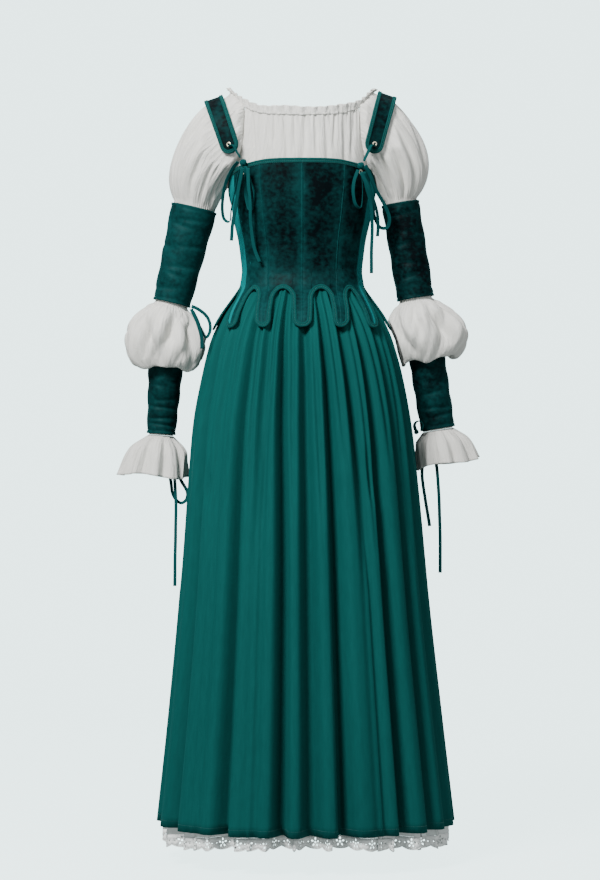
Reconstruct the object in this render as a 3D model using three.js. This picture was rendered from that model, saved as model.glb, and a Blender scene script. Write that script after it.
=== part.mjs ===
// A worn costume dress: a velvet bodice with scalloped tabs and a gathered crepe skirt over a white
// cotton chemise, with velvet sleeve tubes that leave the cotton puffed at the shoulder and elbow.
// Millimetres, +Z up. The back of the dress faces -Y. The origin is midway between the shoulder straps.
// "down" is a distance below the origin, and "turn" goes round the body in degrees: 0 is the centre
// back, 90 the wearer's right side and 180 the centre front.
import * as THREE from "three";

const { lerp, clamp, degToRad, smoothstep } = THREE.MathUtils;
const RIGHT = 1;
const LEFT = -1;

// ---- Driving sizes ----
const SEAM_GAP = 0.3;
const COTTON = 1.2;
const VELVET = 2;
const CREPE = 1.4;
const BINDING = 1.2;
const UNDER_BODICE = 5; // how far the chemise lies inside the bodice's outer face
const ROUNDNESS = 2.2; // 2 would make the body's rings plain ellipses

const WAIST = 345;
const TAB_END = 436;
const TAB_WIDTH = 36;
const TAB_BINDING_WIDTH = 8.5;
const TOP_BINDING_WIDTH = 8;
const SKIRT_HEM = 1343;
const CHEMISE_WAIST = 336;
const CHEMISE_WAIST_INSET = 8.5; // the gathered waist, inside the skirt's valleys
const LACE_TOP = 1344;
const LACE_HEM = 1367;
const LACE_SIDE_DIP = 15; // the lace hangs this much lower at the sides than at the back
const RAGLAN_END = 165;
const NECK_CORNER = 50; // turn of the raglan seams at the neckline
const STRAP_WIDTH = 35;
const STRAP_POINT = 17; // length of the strap's pointed end
const STRAP_BINDING_WIDTH = 7;
const FRILL_HEIGHT = 13;
const FRILL_FOOT = 0.8; // above the neckline, whose points it spans in straight lines

// ---- Forms of the body, as level rings ----
// The bodice's outer face above the waist.
const TORSO = [
  { down: -10, side: 132, back: 76, front: 70 },
  { down: 30, side: 138, back: 92, front: 80 },
  { down: 75, side: 140, back: 100, front: 90 },
  { down: 120, side: 138, back: 104, front: 96 },
  { down: 177, side: 136, back: 103, front: 118 },
  { down: 205, side: 131, back: 100, front: 126 },
  { down: 235, side: 126, back: 95, front: 124 },
  { down: 270, side: 118, back: 87, front: 108 },
  { down: 307, side: 113, back: 81, front: 92 },
  { down: 328, side: 111, back: 79, front: 86 },
  { down: 345, side: 113, back: 81, front: 86 },
];

// The outermost folds of the skirt.
const SKIRT = [
  { down: 338, side: 107.5, back: 75.5, front: 81, shift: 0 },
  { down: 345, side: 109, back: 77, front: 82, shift: 0 },
  { down: 360, side: 112.5, back: 82.5, front: 85, shift: 0 },
  { down: 381, side: 126.5, back: 100.5, front: 97, shift: 0 },
  { down: 409, side: 146.5, back: 122.5, front: 118, shift: 0 },
  { down: 436, side: 161, back: 139, front: 133, shift: 0 },
  { down: 464, side: 172, back: 152, front: 146, shift: 0 },
  { down: 520, side: 187, back: 166, front: 159, shift: 1 },
  { down: 603, side: 203, back: 178, front: 171, shift: 1 },
  { down: 714, side: 214, back: 190, front: 182, shift: 2 },
  { down: 936, side: 232, back: 208, front: 200, shift: 4 },
  { down: 1158, side: 255, back: 226, front: 217, shift: 6 },
  { down: 1343, side: 276, back: 240, front: 230, shift: 7 },
];

// Where each valley between two skirt folds lies, and how deep it is against the deepest.
const VALLEYS = [
  { waist: -84, hem: -84, depth: 0.5 },
  { waist: -65, hem: -62, depth: 0.8 },
  { waist: -46, hem: -47, depth: 0.3 },
  { waist: -31, hem: -33, depth: 0.75 },
  { waist: -20, hem: -20, depth: 0.45 },
  { waist: -11, hem: -9, depth: 1 },
  { waist: 1, hem: 1, depth: 0.85 },
  { waist: 11, hem: 13, depth: 1 },
  { waist: 23, hem: 28, depth: 0.9 },
  { waist: 37, hem: 38, depth: 0.95 },
  { waist: 53, hem: 56, depth: 0.6 },
  { waist: 69, hem: 68, depth: 0.7 },
  { waist: 85, hem: 83, depth: 0.5 },
  { waist: 101, hem: 99, depth: 0.8 },
  { waist: 117, hem: 118, depth: 0.65 },
  { waist: 133, hem: 131, depth: 0.9 },
  { waist: 148, hem: 149, depth: 0.7 },
  { waist: 164, hem: 161, depth: 0.95 },
  { waist: 179, hem: 180, depth: 0.8 },
  { waist: 194, hem: 197, depth: 1 },
  { waist: 210, hem: 209, depth: 0.6 },
  { waist: 226, hem: 228, depth: 0.9 },
  { waist: 243, hem: 241, depth: 0.7 },
  { waist: 260, hem: 260, depth: 0.85 },
];

// The deepest fold, and the small gathers between the folds that open out below the waist.
const FOLD_DEPTH = [
  { down: 338, fold: 2, gather: 2 },
  { down: 360, fold: 3.5, gather: 4 },
  { down: 409, fold: 8, gather: 6 },
  { down: 464, fold: 14, gather: 5 },
  { down: 603, fold: 21, gather: 2.5 },
  { down: 800, fold: 26, gather: 0.5 },
  { down: 1000, fold: 29, gather: 0 },
  { down: 1343, fold: 34, gather: 0 },
];

// The bodice's top edge, from the centre back to the centre front.
const TOP_EDGE = [
  { turn: 0, down: 129 },
  { turn: 25, down: 130 },
  { turn: 45, down: 136 },
  { turn: 60, down: 142 },
  { turn: 70, down: 151 },
  { turn: 80, down: 170 },
  { turn: 90, down: 189 },
  { turn: 100, down: 196 },
  { turn: 112, down: 190 },
  { turn: 125, down: 165 },
  { turn: 137, down: 150 },
  { turn: 155, down: 150 },
  { turn: 180, down: 154 },
];

// The chemise's wide boat neck, from the centre back over the shoulder to the centre front.
const NECKLINE = [
  { turn: 0, down: 46 },
  { turn: 30, down: 41 },
  { turn: 50, down: 27 },
  { turn: 70, down: 5 },
  { turn: 90, down: -5 },
  { turn: 110, down: 4 },
  { turn: 130, down: 33 },
  { turn: 155, down: 66 },
  { turn: 180, down: 76 },
];

// The bodice's seams. A tab hangs from the foot of each one, and swings a little towards the back.
const SEAMS = [
  { waist: 0, tabEnd: 0 },
  { waist: 32, tabEnd: 23 },
  { waist: 64, tabEnd: 51 },
  { waist: 93, tabEnd: 89 },
  { waist: 122, tabEnd: 127 },
  { waist: 151, tabEnd: 155 },
  { waist: 180, tabEnd: 180 },
  { waist: 209, tabEnd: 205 },
  { waist: 238, tabEnd: 233 },
  { waist: 267, tabEnd: 271 },
  { waist: 296, tabEnd: 309 },
  { waist: 328, tabEnd: 337 },
];

// Half of one scallop of the lower edge, from the tab's tip to the top of the arch beside it. "tab"
// counts in half tab widths, and "arch" in half distances between two tabs.
const SCALLOP = [
  { tab: 0, arch: 0, down: 436 },
  { tab: 0.82, arch: 0, down: 429 },
  { tab: 0.98, arch: 0.04, down: 384 },
  { tab: 0, arch: 1, down: 363 },
];

const PANELS = [
  "bodice_back_right",
  "bodice_back_middle_right",
  "bodice_crepe_side_back_right",
  "bodice_side_front_right",
  "bodice_front_middle_right",
  "bodice_front_right",
  "bodice_front_left",
  "bodice_front_middle_left",
  "bodice_side_front_left",
  "bodice_crepe_side_back_left",
  "bodice_back_middle_left",
  "bodice_back_left",
];

// ---- Forms of the arms ----
// Rings of the cotton sleeve below the shoulder puff. "out" is the distance from the body's middle,
// "wide" and "deep" are half sizes, and "wave" is the height of the gathers.
const COTTON_SLEEVE = {
  left: [
    { out: 198.3, fore: 0, down: 206, wide: 38, deep: 36.5, wave: 0 },
    { out: 242.3, fore: 8, down: 390, wide: 30.6, deep: 30.6, wave: 0 },
    { out: 244, fore: 9, down: 399, wide: 43, deep: 41, wave: 2 },
    { out: 249, fore: 13, down: 424, wide: 64, deep: 58, wave: 4 },
    { out: 252, fore: 17, down: 460, wide: 75, deep: 67, wave: 5 },
    { out: 254, fore: 20, down: 490, wide: 68, deep: 60, wave: 5 },
    { out: 254, fore: 21, down: 507, wide: 49, deep: 46, wave: 2 },
    { out: 252.6, fore: 21.4, down: 489, wide: 33, deep: 33, wave: 0 },
    { out: 252.7, fore: 21.6, down: 493, wide: 27.6, deep: 27.6, wave: 0 },
    { out: 262.9, fore: 42.3, down: 631, wide: 22.6, deep: 22.6, wave: 0 },
  ],
  right: [
    { out: 181, fore: 0, down: 197, wide: 30.6, deep: 30.6, wave: 0 },
    { out: 211, fore: 8, down: 381, wide: 30.2, deep: 30.2, wave: 0 },
    { out: 213, fore: 9, down: 390, wide: 42, deep: 40, wave: 2 },
    { out: 220, fore: 12, down: 414, wide: 63, deep: 57, wave: 4 },
    { out: 231, fore: 16, down: 447, wide: 74, deep: 66, wave: 5 },
    { out: 235, fore: 19, down: 474, wide: 66, deep: 60, wave: 5 },
    { out: 232, fore: 21, down: 493, wide: 50, deep: 46, wave: 2 },
    { out: 230.3, fore: 21.4, down: 473, wide: 34.5, deep: 33, wave: 0 },
    { out: 230.5, fore: 21.6, down: 477, wide: 28.8, deep: 27.6, wave: 0 },
    { out: 253.6, fore: 42.3, down: 621, wide: 28.2, deep: 22.6, wave: 0 },
  ],
};

// The gathered wrist frills, flaring from the cuff seam to a free edge.
const WRIST_FRILL = {
  left: [
    { out: 262.9, fore: 42.3, down: 631.5, wide: 22.6, deep: 22.6, wave: 0 },
    { out: 268, fore: 45, down: 657, wide: 50, deep: 44, wave: 4 },
    { out: 274, fore: 48, down: 707, wide: 66, deep: 59, wave: 7 },
  ],
  right: [
    { out: 253.6, fore: 42.3, down: 621.5, wide: 28.2, deep: 22.6, wave: 0 },
    { out: 260, fore: 45, down: 644, wide: 49, deep: 44, wave: 4 },
    { out: 268, fore: 48, down: 684, wide: 61, deep: 58, wave: 7 },
  ],
};

// The velvet tubes' outer faces, as half widths at the top and the bottom edge.
const VELVET_TUBES = [
  {
    name: "velvet_upper_sleeve_left",
    side: LEFT,
    top: { out: 199.5, fore: 0, down: 211, wide: 42.7, deep: 41 },
    bottom: { out: 241.6, fore: 8, down: 387, wide: 34.9, deep: 34.9 },
  },
  {
    name: "velvet_upper_sleeve_right",
    side: RIGHT,
    top: { out: 181.8, fore: 0, down: 202, wide: 34.9, deep: 34.9 },
    bottom: { out: 210.6, fore: 8, down: 378, wide: 34.5, deep: 34.5 },
  },
  {
    name: "velvet_lower_sleeve_left",
    side: LEFT,
    top: { out: 252.9, fore: 22, down: 497.5, wide: 32.6, deep: 32.6 },
    bottom: { out: 262.7, fore: 42, down: 629, wide: 26.6, deep: 26.6 },
  },
  {
    name: "velvet_lower_sleeve_right",
    side: RIGHT,
    top: { out: 231.2, fore: 22, down: 481, wide: 33.8, deep: 32.6 },
    bottom: { out: 253.3, fore: 42, down: 619, wide: 32.2, deep: 26.6 },
  },
];

// ---- Table reading ----
// One smoothly blended row of a table, at a place between its rows.
function rowAt(table, key, at) {
  const next = table.findIndex((row) => row[key] > at);
  if (next === 0) return table[0];
  if (next === -1) return table.at(-1);
  const from = table[next - 1];
  const to = table[next];
  const before = table[next - 2] ?? from;
  const after = table[next + 1] ?? to;
  const span = to[key] - from[key];
  const f = (at - from[key]) / span;
  const blended = {};
  for (const column of Object.keys(from)) {
    const leave = ((to[column] - before[column]) / (to[key] - before[key])) * span;
    const arrive = ((after[column] - from[column]) / (after[key] - from[key])) * span;
    const rise = 3 * (to[column] - from[column]) - 2 * leave - arrive;
    const settle = 2 * (from[column] - to[column]) + leave + arrive;
    blended[column] = from[column] + f * (leave + f * (rise + f * settle));
  }
  return blended;
}

// Tables of one half of the body serve both: turns past the centre front mirror those before it.
const halfTurn = (turn) => Math.abs(((((turn + 180) % 360) + 360) % 360) - 180);
const topEdgeDown = (turn) => rowAt(TOP_EDGE, "turn", halfTurn(turn)).down;
const necklineDown = (turn) => rowAt(NECKLINE, "turn", halfTurn(turn)).down;

// ---- Rings ----
const squared = (v) => Math.sign(v) * Math.abs(v) ** (2 / ROUNDNESS);

function ringPoint(size, turn, down, out = 0) {
  const sideways = squared(Math.sin(degToRad(turn)));
  const backwards = squared(Math.cos(degToRad(turn)));
  const depth = backwards > 0 ? size.back : size.front;
  const x = (size.side + out) * sideways + (size.shift ?? 0);
  return new THREE.Vector3(x, -(depth + out) * backwards, -down);
}

// The tabs lie on the skirt, a wall and a little air outside its folds.
const TAB_OVER_SKIRT = 4;
function bodiceSize(down) {
  if (down <= WAIST) return rowAt(TORSO, "down", down);
  const skirt = rowAt(SKIRT, "down", down);
  return {
    side: skirt.side + TAB_OVER_SKIRT,
    back: skirt.back + TAB_OVER_SKIRT,
    front: skirt.front + TAB_OVER_SKIRT,
  };
}

const onBodice = (turn, down, out = 0) => ringPoint(bodiceSize(down), turn, down, out);

// Moves a point of a sleeve sideways until it is just clear of the bodice or the skirt.
const SLEEVE_CLEARANCE = 4.5;
const unsquared = (v) => Math.sign(v) * Math.abs(v) ** (ROUNDNESS / 2);
function clearOfBody(p) {
  const down = -p.z;
  const size = bodiceSize(down);
  const depth = (p.y < 0 ? size.back : size.front) + SLEEVE_CLEARANCE;
  const turn = Math.atan2(unsquared(p.x / size.side), -unsquared(p.y / depth)) * (180 / Math.PI);
  if (down < topEdgeDown(turn) - SLEEVE_CLEARANCE) return p;
  const across = Math.abs(p.y) / depth;
  if (across >= 1) return p;
  const edge = (size.side + SLEEVE_CLEARANCE) * (1 - across ** ROUNDNESS) ** (1 / ROUNDNESS);
  if (Math.abs(p.x) < edge) p.x = Math.sign(p.x) * edge;
  return p;
}

// ---- Cloth walls ----
const BODY_MIDDLE = new THREE.Vector3(0, 0, -300);

function middleOf(points) {
  const sum = new THREE.Vector3();
  for (const p of points) sum.add(p);
  return sum.divideScalar(points.length);
}

// The directions out of a grid of points. A ring's rows close on themselves, and "inside" is a point
// that the cloth faces away from; a ring without one faces away from the middle of each row.
function normalsOf(grid, { ring = false, inside = null } = {}) {
  const columns = grid[0].length;
  const column = (c) => (ring ? (c + columns) % columns : clamp(c, 0, columns - 1));
  const row = (r) => clamp(r, 0, grid.length - 1);
  let facing = 0;
  const normals = grid.map((points, r) => {
    const middle = inside ?? (ring ? middleOf(points) : BODY_MIDDLE);
    return points.map((p, c) => {
      const along = grid[r][column(c + 1)].clone().sub(grid[r][column(c - 1)]);
      const below = grid[row(r + 1)][c].clone().sub(grid[row(r - 1)][c]);
      const normal = along.cross(below).normalize();
      facing += normal.dot(p.clone().sub(middle));
      return normal;
    });
  });
  return normals.map((line) => line.map((normal) => normal.multiplyScalar(Math.sign(facing))));
}

const movedOut = (grid, normals, distance) =>
  grid.map((points, r) => points.map((p, c) => p.clone().addScaledVector(normals[r][c], distance)));

// A closed wall between two grids of the same size.
function wallBetween(outer, inner, ring = false) {
  const rows = outer.length;
  const columns = outer[0].length;
  const lastColumn = ring ? columns : columns - 1;
  const faces = [];
  const quad = (a, b, c, d) => faces.push(a, b, c, a, c, d);
  const face = (r, c) => r * columns + (c % columns);
  const back = (r, c) => rows * columns + face(r, c);
  for (let c = 0; c < lastColumn; c++) {
    for (let r = 0; r < rows - 1; r++) {
      quad(face(r, c), face(r, c + 1), face(r + 1, c + 1), face(r + 1, c));
      quad(back(r, c), back(r + 1, c), back(r + 1, c + 1), back(r, c + 1));
    }
    quad(back(0, c), back(0, c + 1), face(0, c + 1), face(0, c));
    quad(face(rows - 1, c), face(rows - 1, c + 1), back(rows - 1, c + 1), back(rows - 1, c));
  }
  if (!ring)
    for (let r = 0; r < rows - 1; r++) {
      quad(face(r, 0), face(r + 1, 0), back(r + 1, 0), back(r, 0));
      quad(back(r, lastColumn), back(r + 1, lastColumn), face(r + 1, lastColumn), face(r, lastColumn));
    }
  return facingOut([...outer.flat(), ...inner.flat()], faces);
}

// A wall whose outer face is the grid, and whose inner face lies one thickness inside it.
function clothWall(grid, thickness, options = {}) {
  return wallBetween(grid, movedOut(grid, normalsOf(grid, options), -thickness), options.ring);
}

// A closed strip on the outer face of a grid of cloth, a little above it.
const STRIP_GAP = 0.55;
function stripOn(grid, normals) {
  return wallBetween(movedOut(grid, normals, STRIP_GAP + BINDING), movedOut(grid, normals, STRIP_GAP), true);
}

// A geometry from shared points, with its faces turned so that they look out of the solid.
function facingOut(points, faces) {
  let volume = 0;
  const corner = new THREE.Vector3();
  for (let i = 0; i < faces.length; i += 3) {
    const [a, b, c] = faces.slice(i, i + 3).map((index) => points[index]);
    volume += corner.crossVectors(a, b).dot(c);
  }
  const geometry = new THREE.BufferGeometry().setFromPoints(points);
  geometry.setIndex(volume < 0 ? faces.reverse() : faces);
  geometry.computeVertexNormals();
  return geometry;
}

const steps = (count) => Array.from({ length: count }, (_, i) => i);

// ---- Materials ----
const cloth = (color, roughness) => new THREE.MeshStandardMaterial({ color, roughness, metalness: 0 });
const velvetCloth = cloth(0x08393a, 0.75);
const crepeCloth = cloth(0x0a6160, 0.8);
const sideCrepeCloth = cloth(0x066b6c, 0.8);
const bindingCloth = cloth(0x177062, 0.8);
const cottonCloth = cloth(0xd2d3cf, 0.9);
const laceCloth = cloth(0xb9bbb8, 0.9);
const brass = new THREE.MeshStandardMaterial({ color: 0xc9ae6a, roughness: 0.3, metalness: 1 });

const dress = new THREE.Group();

function addPiece(name, geometry, material) {
  const mesh = new THREE.Mesh(geometry, material);
  mesh.name = name;
  dress.add(mesh);
  return mesh;
}

// ---- Skirt ----
const SKIRT_ROWS = [338, 362, 403, 490, 740, SKIRT_HEM];
const COLUMNS_PER_FOLD = 4;

// A place round the skirt counts in folds, so 3.5 is the crest between valleys 3 and 4.
function foldAt(place, down) {
  const count = VALLEYS.length;
  const valley = Math.floor(place);
  const from = VALLEYS[valley % count];
  const to = VALLEYS[(valley + 1) % count];
  const opened = smoothstep(down, WAIST, 900);
  const fromTurn = lerp(from.waist, from.hem, opened);
  const toTurn = lerp(to.waist, to.hem, opened) + (valley % count === count - 1 ? 360 : 0);
  const across = place - valley;
  const wave = Math.cos(2 * Math.PI * across);
  const depths = rowAt(FOLD_DEPTH, "down", down);
  const valleyDepth = depths.fold * lerp(from.depth, to.depth, across) * ((1 + wave) / 2) ** 1.4;
  const gatherDepth = (depths.gather * (1 + Math.cos(4 * Math.PI * across))) / 2;
  return { turn: lerp(fromTurn, toTurn, across), inwards: valleyDepth + gatherDepth };
}

function skirtRow(down) {
  const size = rowAt(SKIRT, "down", down);
  return steps(VALLEYS.length * COLUMNS_PER_FOLD).map((i) => {
    const fold = foldAt(i / COLUMNS_PER_FOLD, down);
    return ringPoint(size, fold.turn, down, -fold.inwards);
  });
}

addPiece("skirt", clothWall(SKIRT_ROWS.map(skirtRow), CREPE, { ring: true }), crepeCloth);

// ---- Chemise skirt and its lace hem ----
// It hangs inside the gathered skirt and follows its folds, a little shallower.
const UNDER_SKIRT = [
  { down: CHEMISE_WAIST, inset: CHEMISE_WAIST_INSET, share: 0, shift: 0 },
  { down: 364, inset: 6, share: 1, shift: 0 },
  { down: 405, inset: 7, share: 1, shift: 0 },
  { down: 620, inset: 14, share: 0.9, shift: 1 },
  { down: 1343, inset: 20, share: 0.75, shift: 7 },
];
const UNDER_SKIRT_ROWS = [CHEMISE_WAIST + SEAM_GAP, 364, 405, 620, LACE_TOP - SEAM_GAP];
const UNDER_COLUMNS_PER_FOLD = 2;
const SCALLOP_COUNT = 68;
const SCALLOP_DEPTH = 5;
const LACE_HOLE = 4.4;
const LACE_HOLE_RISE = 12;

function underSkirtRow(down, depth = 0) {
  const level = Math.min(down, SKIRT_HEM);
  const size = rowAt(SKIRT, "down", level);
  const under = rowAt(UNDER_SKIRT, "down", level);
  return steps(VALLEYS.length * UNDER_COLUMNS_PER_FOLD).map((i) => {
    const fold = foldAt(i / UNDER_COLUMNS_PER_FOLD, level);
    const p = ringPoint(size, fold.turn, down, -under.inset - under.share * fold.inwards - depth);
    p.x += under.shift;
    if (down > SKIRT_HEM) p.z -= LACE_SIDE_DIP * Math.sin(degToRad(fold.turn)) ** 2;
    return p;
  });
}

const underSkirtGrid = (depth) => UNDER_SKIRT_ROWS.map((down) => underSkirtRow(down, depth));
addPiece("chemise_skirt", wallBetween(underSkirtGrid(0), underSkirtGrid(COTTON), true), cottonCloth);

// Evenly spaced places on a closed line, each as a side of the line and a share of that side.
function spacedAlong(points, count) {
  const sides = points.map((p, i) => p.distanceTo(points[(i + 1) % points.length]));
  const spacing = sides.reduce((sum, side) => sum + side) / count;
  const places = [];
  let passed = 0;
  sides.forEach((side, i) => {
    while (places.length < count && places.length * spacing < passed + side)
      places.push({ side: i, share: (places.length * spacing - passed) / side });
    passed += side;
  });
  return places;
}

// Half of the band of scallops, closed at both ends. Each scallop is a cell between two straight sides,
// with a blunt round foot and the eyelet hole at the middle of its flower.
function laceHem(firstCell) {
  const count = SCALLOP_COUNT / 2;
  const faceLine = underSkirtRow(LACE_TOP);
  const backLine = underSkirtRow(LACE_TOP, COTTON);
  const places = spacedAlong(faceLine, SCALLOP_COUNT);
  const cellSide = (cell, below, line) => {
    const { side, share } = places[cell % SCALLOP_COUNT];
    const p = line[side].clone().lerp(line[(side + 1) % line.length], share);
    p.z -= below;
    return p;
  };
  const inCell = (cell, across, below, line) =>
    cellSide(cell, below, line).lerp(cellSide(cell + 1, below, line), across);
  const foot = LACE_HEM - LACE_TOP;
  const holeMiddle = foot - LACE_HOLE_RISE;
  const points = [];
  const faces = [];
  const quad = (a, b, c, d) => faces.push(a, b, c, a, c, d);
  for (const i of steps(count + 1)) {
    const cell = firstCell + i;
    const width = inCell(cell, 0, 0, faceLine).distanceTo(inCell(cell, 1, 0, faceLine));
    const half = LACE_HOLE / 2 / width;
    const drawnIn = SEAM_GAP / width;
    const start = i === 0 ? drawnIn : i === count ? -drawnIn : 0;
    for (const line of [faceLine, backLine]) {
      points.push(inCell(cell, start, 0, line), inCell(cell, start, foot - SCALLOP_DEPTH, line));
      points.push(inCell(cell, 0.28, foot, line), inCell(cell, 0.72, foot, line));
      points.push(inCell(cell, 0.5 - half, holeMiddle, line));
      points.push(inCell(cell, 0.5, holeMiddle - LACE_HOLE / 2, line));
      points.push(inCell(cell, 0.5 + half, holeMiddle, line));
      points.push(inCell(cell, 0.5, holeMiddle + LACE_HOLE / 2, line));
    }
  }
  const each = 8; // points of one face of a cell
  for (const i of steps(count)) {
    const near = 2 * each * i;
    const far = near + 2 * each;
    for (const back of [0, each]) {
      const spots = steps(each).map((spot) => near + back + spot);
      const [top, side, footLeft, footRight, left, upper, right, lower] = spots;
      const nextTop = far + back;
      const nextSide = nextTop + 1;
      const front = [
        [top, upper, nextTop],
        [top, left, upper],
        [top, side, left],
        [side, footLeft, left],
        [footLeft, lower, left],
        [footLeft, footRight, lower],
        [footRight, right, lower],
        [footRight, nextSide, right],
        [nextSide, nextTop, right],
        [nextTop, upper, right],
      ];
      for (const [a, b, c] of front) faces.push(...(back ? [a, c, b] : [a, b, c]));
    }
    const edge = (a, b) => quad(a, b, b + each, a + each);
    quad(near, far, far + each, near + each);
    quad(near + 1, near + 1 + each, near + 2 + each, near + 2);
    quad(near + 2, near + 2 + each, near + 3 + each, near + 3);
    quad(near + 3, near + 3 + each, far + 1 + each, far + 1);
    for (const corner of steps(4)) edge(near + 4 + ((corner + 1) % 4), near + 4 + corner);
  }
  const end = 2 * each * count;
  quad(0, each, each + 1, 1);
  quad(end, end + 1, end + 1 + each, end + each);
  return facingOut(points, faces);
}

addPiece("lace_hem_back", laceHem(0), laceCloth);
addPiece("lace_hem_front", laceHem(SCALLOP_COUNT / 2), laceCloth);

// ---- Bodice panels ----
function seamTurn(seam, down) {
  const count = SEAMS.length;
  const { waist, tabEnd } = SEAMS[seam % count];
  const swung = clamp((down - WAIST) / (TAB_END - WAIST), 0, 1);
  return lerp(waist, tabEnd, swung) + 360 * Math.floor(seam / count);
}

const seamDistance = (seam, down) =>
  onBodice(seamTurn(seam, down), down).distanceTo(onBodice(seamTurn(seam + 1, down), down));

// The lower edge between two seams: down one tab, up over the arch and down the next tab. "share" is
// the way across from one seam to the next.
function lowerEdge(seam) {
  const there = SCALLOP.map(({ tab, arch, down }) => ({
    share: (tab * TAB_WIDTH) / 2 / seamDistance(seam, down) + arch / 2,
    down,
  }));
  const back = there.slice(0, -1).reverse();
  return [...there, ...back.map(({ share, down }) => ({ share: 1 - share, down }))];
}

// The inner edge of the binding on it, one binding width inside the cloth and square to the edge.
function insideEdge(seam) {
  const spots = lowerEdge(seam).map(({ share, down }) => {
    const across = share * seamDistance(seam, down);
    return { share, across, down };
  });
  const last = spots.length - 1;
  const before = { across: -spots[1].across, down: spots[1].down };
  const after = { across: 2 * spots[last].across - spots[last - 1].across, down: spots[last - 1].down };
  const line = [before, ...spots, after];
  return spots.map((spot, i) => {
    const along = new THREE.Vector2(line[i + 2].across - line[i].across, line[i + 2].down - line[i].down);
    along.setLength(TAB_BINDING_WIDTH);
    return { share: spot.share + along.y / seamDistance(seam, spot.down), down: spot.down - along.x };
  });
}

const SEAM_INSET = 0.1; // half a seam gap, as a turn in degrees
const PANEL_LEVELS = [205, 270, WAIST];

function bodiceGrid(seam, depth) {
  const at = ({ share, down }) => {
    const from = seamTurn(seam, down) + SEAM_INSET;
    const to = seamTurn(seam + 1, down) - SEAM_INSET;
    return onBodice(lerp(from, to, share), down, -depth);
  };
  const edge = lowerEdge(seam);
  const top = edge.map(({ share }) => {
    const turn = lerp(seamTurn(seam, 0), seamTurn(seam + 1, 0), share);
    return { share, down: topEdgeDown(turn) };
  });
  const levels = PANEL_LEVELS.map((down) => edge.map(({ share }) => ({ share, down })));
  const inside = insideEdge(seam);
  const hip = inside.map((spot, c) => ({
    share: lerp(edge[c].share, spot.share, 0.6),
    down: lerp(WAIST, spot.down, 0.6),
  }));
  return [top, ...levels, hip, inside, edge].map((row) => row.map(at));
}

const panelGrids = PANELS.map((_, seam) => bodiceGrid(seam, 0));
PANELS.forEach((name, seam) => {
  const material = name.includes("crepe") ? sideCrepeCloth : velvetCloth;
  addPiece(name, wallBetween(panelGrids[seam], bodiceGrid(seam, VELVET)), material);
});

// ---- Bodice bindings ----
// Each one is made from the panels' own points, moved out. A ring takes all of a panel's columns but the
// last, which is the next panel's first.
const panelNormals = panelGrids.map((grid) => normalsOf(grid));
const ringFrom = (grids, pick) => grids.flatMap((grid) => pick(grid).slice(0, -1));

function topBinding() {
  const drop = (p, below) => p.clone().lerp(below, TOP_BINDING_WIDTH / p.distanceTo(below));
  const foot = (grid) => grid[0].map((p, c) => drop(p, grid[1][c]));
  const rows = [ringFrom(panelGrids, (grid) => grid[0]), ringFrom(panelGrids, foot)];
  const normals = ringFrom(panelNormals, (grid) => grid[0]);
  return stripOn(rows, [normals, normals]);
}

// The tab binding's upper edge is drawn in from the row where the tab's face bends.
const BINDING_DRAWN_IN = 0.22;
function tabBinding() {
  const inner = (grid) => grid.at(-2).map((p, c) => p.clone().lerp(grid.at(-1)[c], BINDING_DRAWN_IN));
  const rows = [ringFrom(panelGrids, inner), ringFrom(panelGrids, (grid) => grid.at(-1))];
  const normals = ringFrom(panelNormals, (grid) => grid.at(-1));
  return stripOn(rows, [normals, normals]);
}

addPiece("bodice_top_binding", topBinding(), bindingCloth);
addPiece("bodice_tab_binding", tabBinding(), bindingCloth);

// ---- Chemise body ----
// The back and the front each run from the neckline to the waist, between two raglan seams that end at
// the armpits and two side seams below them.
const CHEMISE_BUST = 205;
const RAGLAN_STEPS = 6;
const BODY_COLUMNS = 10;
const BODY_SEAM = 0.9972; // leaves half a seam gap at each side
const onChemise = (turn, down, depth = 0) =>
  ringPoint(rowAt(TORSO, "down", down), turn, down, -UNDER_BODICE - depth);

// How far round from the centre back or front the raglan seam has gone.
const raglanTurn = (share) => lerp(NECK_CORNER, 90, share ** 4);

function chemiseBody(centre, depth) {
  const across = steps(BODY_COLUMNS + 1).map((c) => (2 * c) / BODY_COLUMNS - 1);
  const yoke = steps(RAGLAN_STEPS + 1).map((r) => {
    const share = r / RAGLAN_STEPS;
    return across.map((u) => {
      const down = lerp(necklineDown(centre + NECK_CORNER * u), RAGLAN_END, share);
      return onChemise(centre + raglanTurn(share) * u * BODY_SEAM, down, depth);
    });
  });
  const bust = across.map((u) => onChemise(centre + 90 * u * BODY_SEAM, CHEMISE_BUST, depth));
  const waist = across.map((u) =>
    ringPoint(SKIRT[0], centre + 90 * u * BODY_SEAM, CHEMISE_WAIST, -CHEMISE_WAIST_INSET - depth),
  );
  return [...yoke, bust, waist];
}

for (const [name, centre] of [["chemise_back", 0], ["chemise_front", 180]])
  addPiece(name, wallBetween(chemiseBody(centre, 0), chemiseBody(centre, COTTON)), cottonCloth);

// ---- Straps ----
// A strap runs from the bodice's front edge over the shoulder to a point above its back edge. "angle"
// is 0 on the shoulder, 90 at the back point and -90 at the front end.
const STRAPS = {
  left: { side: LEFT, crestOut: 164, crestDown: 9 },
  right: { side: RIGHT, crestOut: 158, crestDown: 2 },
};
const STRAP_BACK = { out: 127.5, back: 78, down: 119 };
const STRAP_FRONT = { out: 104, front: 84, down: 146 };
const STRAP_SLOPE = new THREE.Vector3(0.93, 0, -0.37); // across the strap on the shoulder, outwards
const STRAP_BACK_ACROSS = new THREE.Vector3(0.92, 0.38, -0.06);
const STRAP_FRONT_ACROSS = new THREE.Vector3(0.82, -0.57, -0.02);

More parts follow.
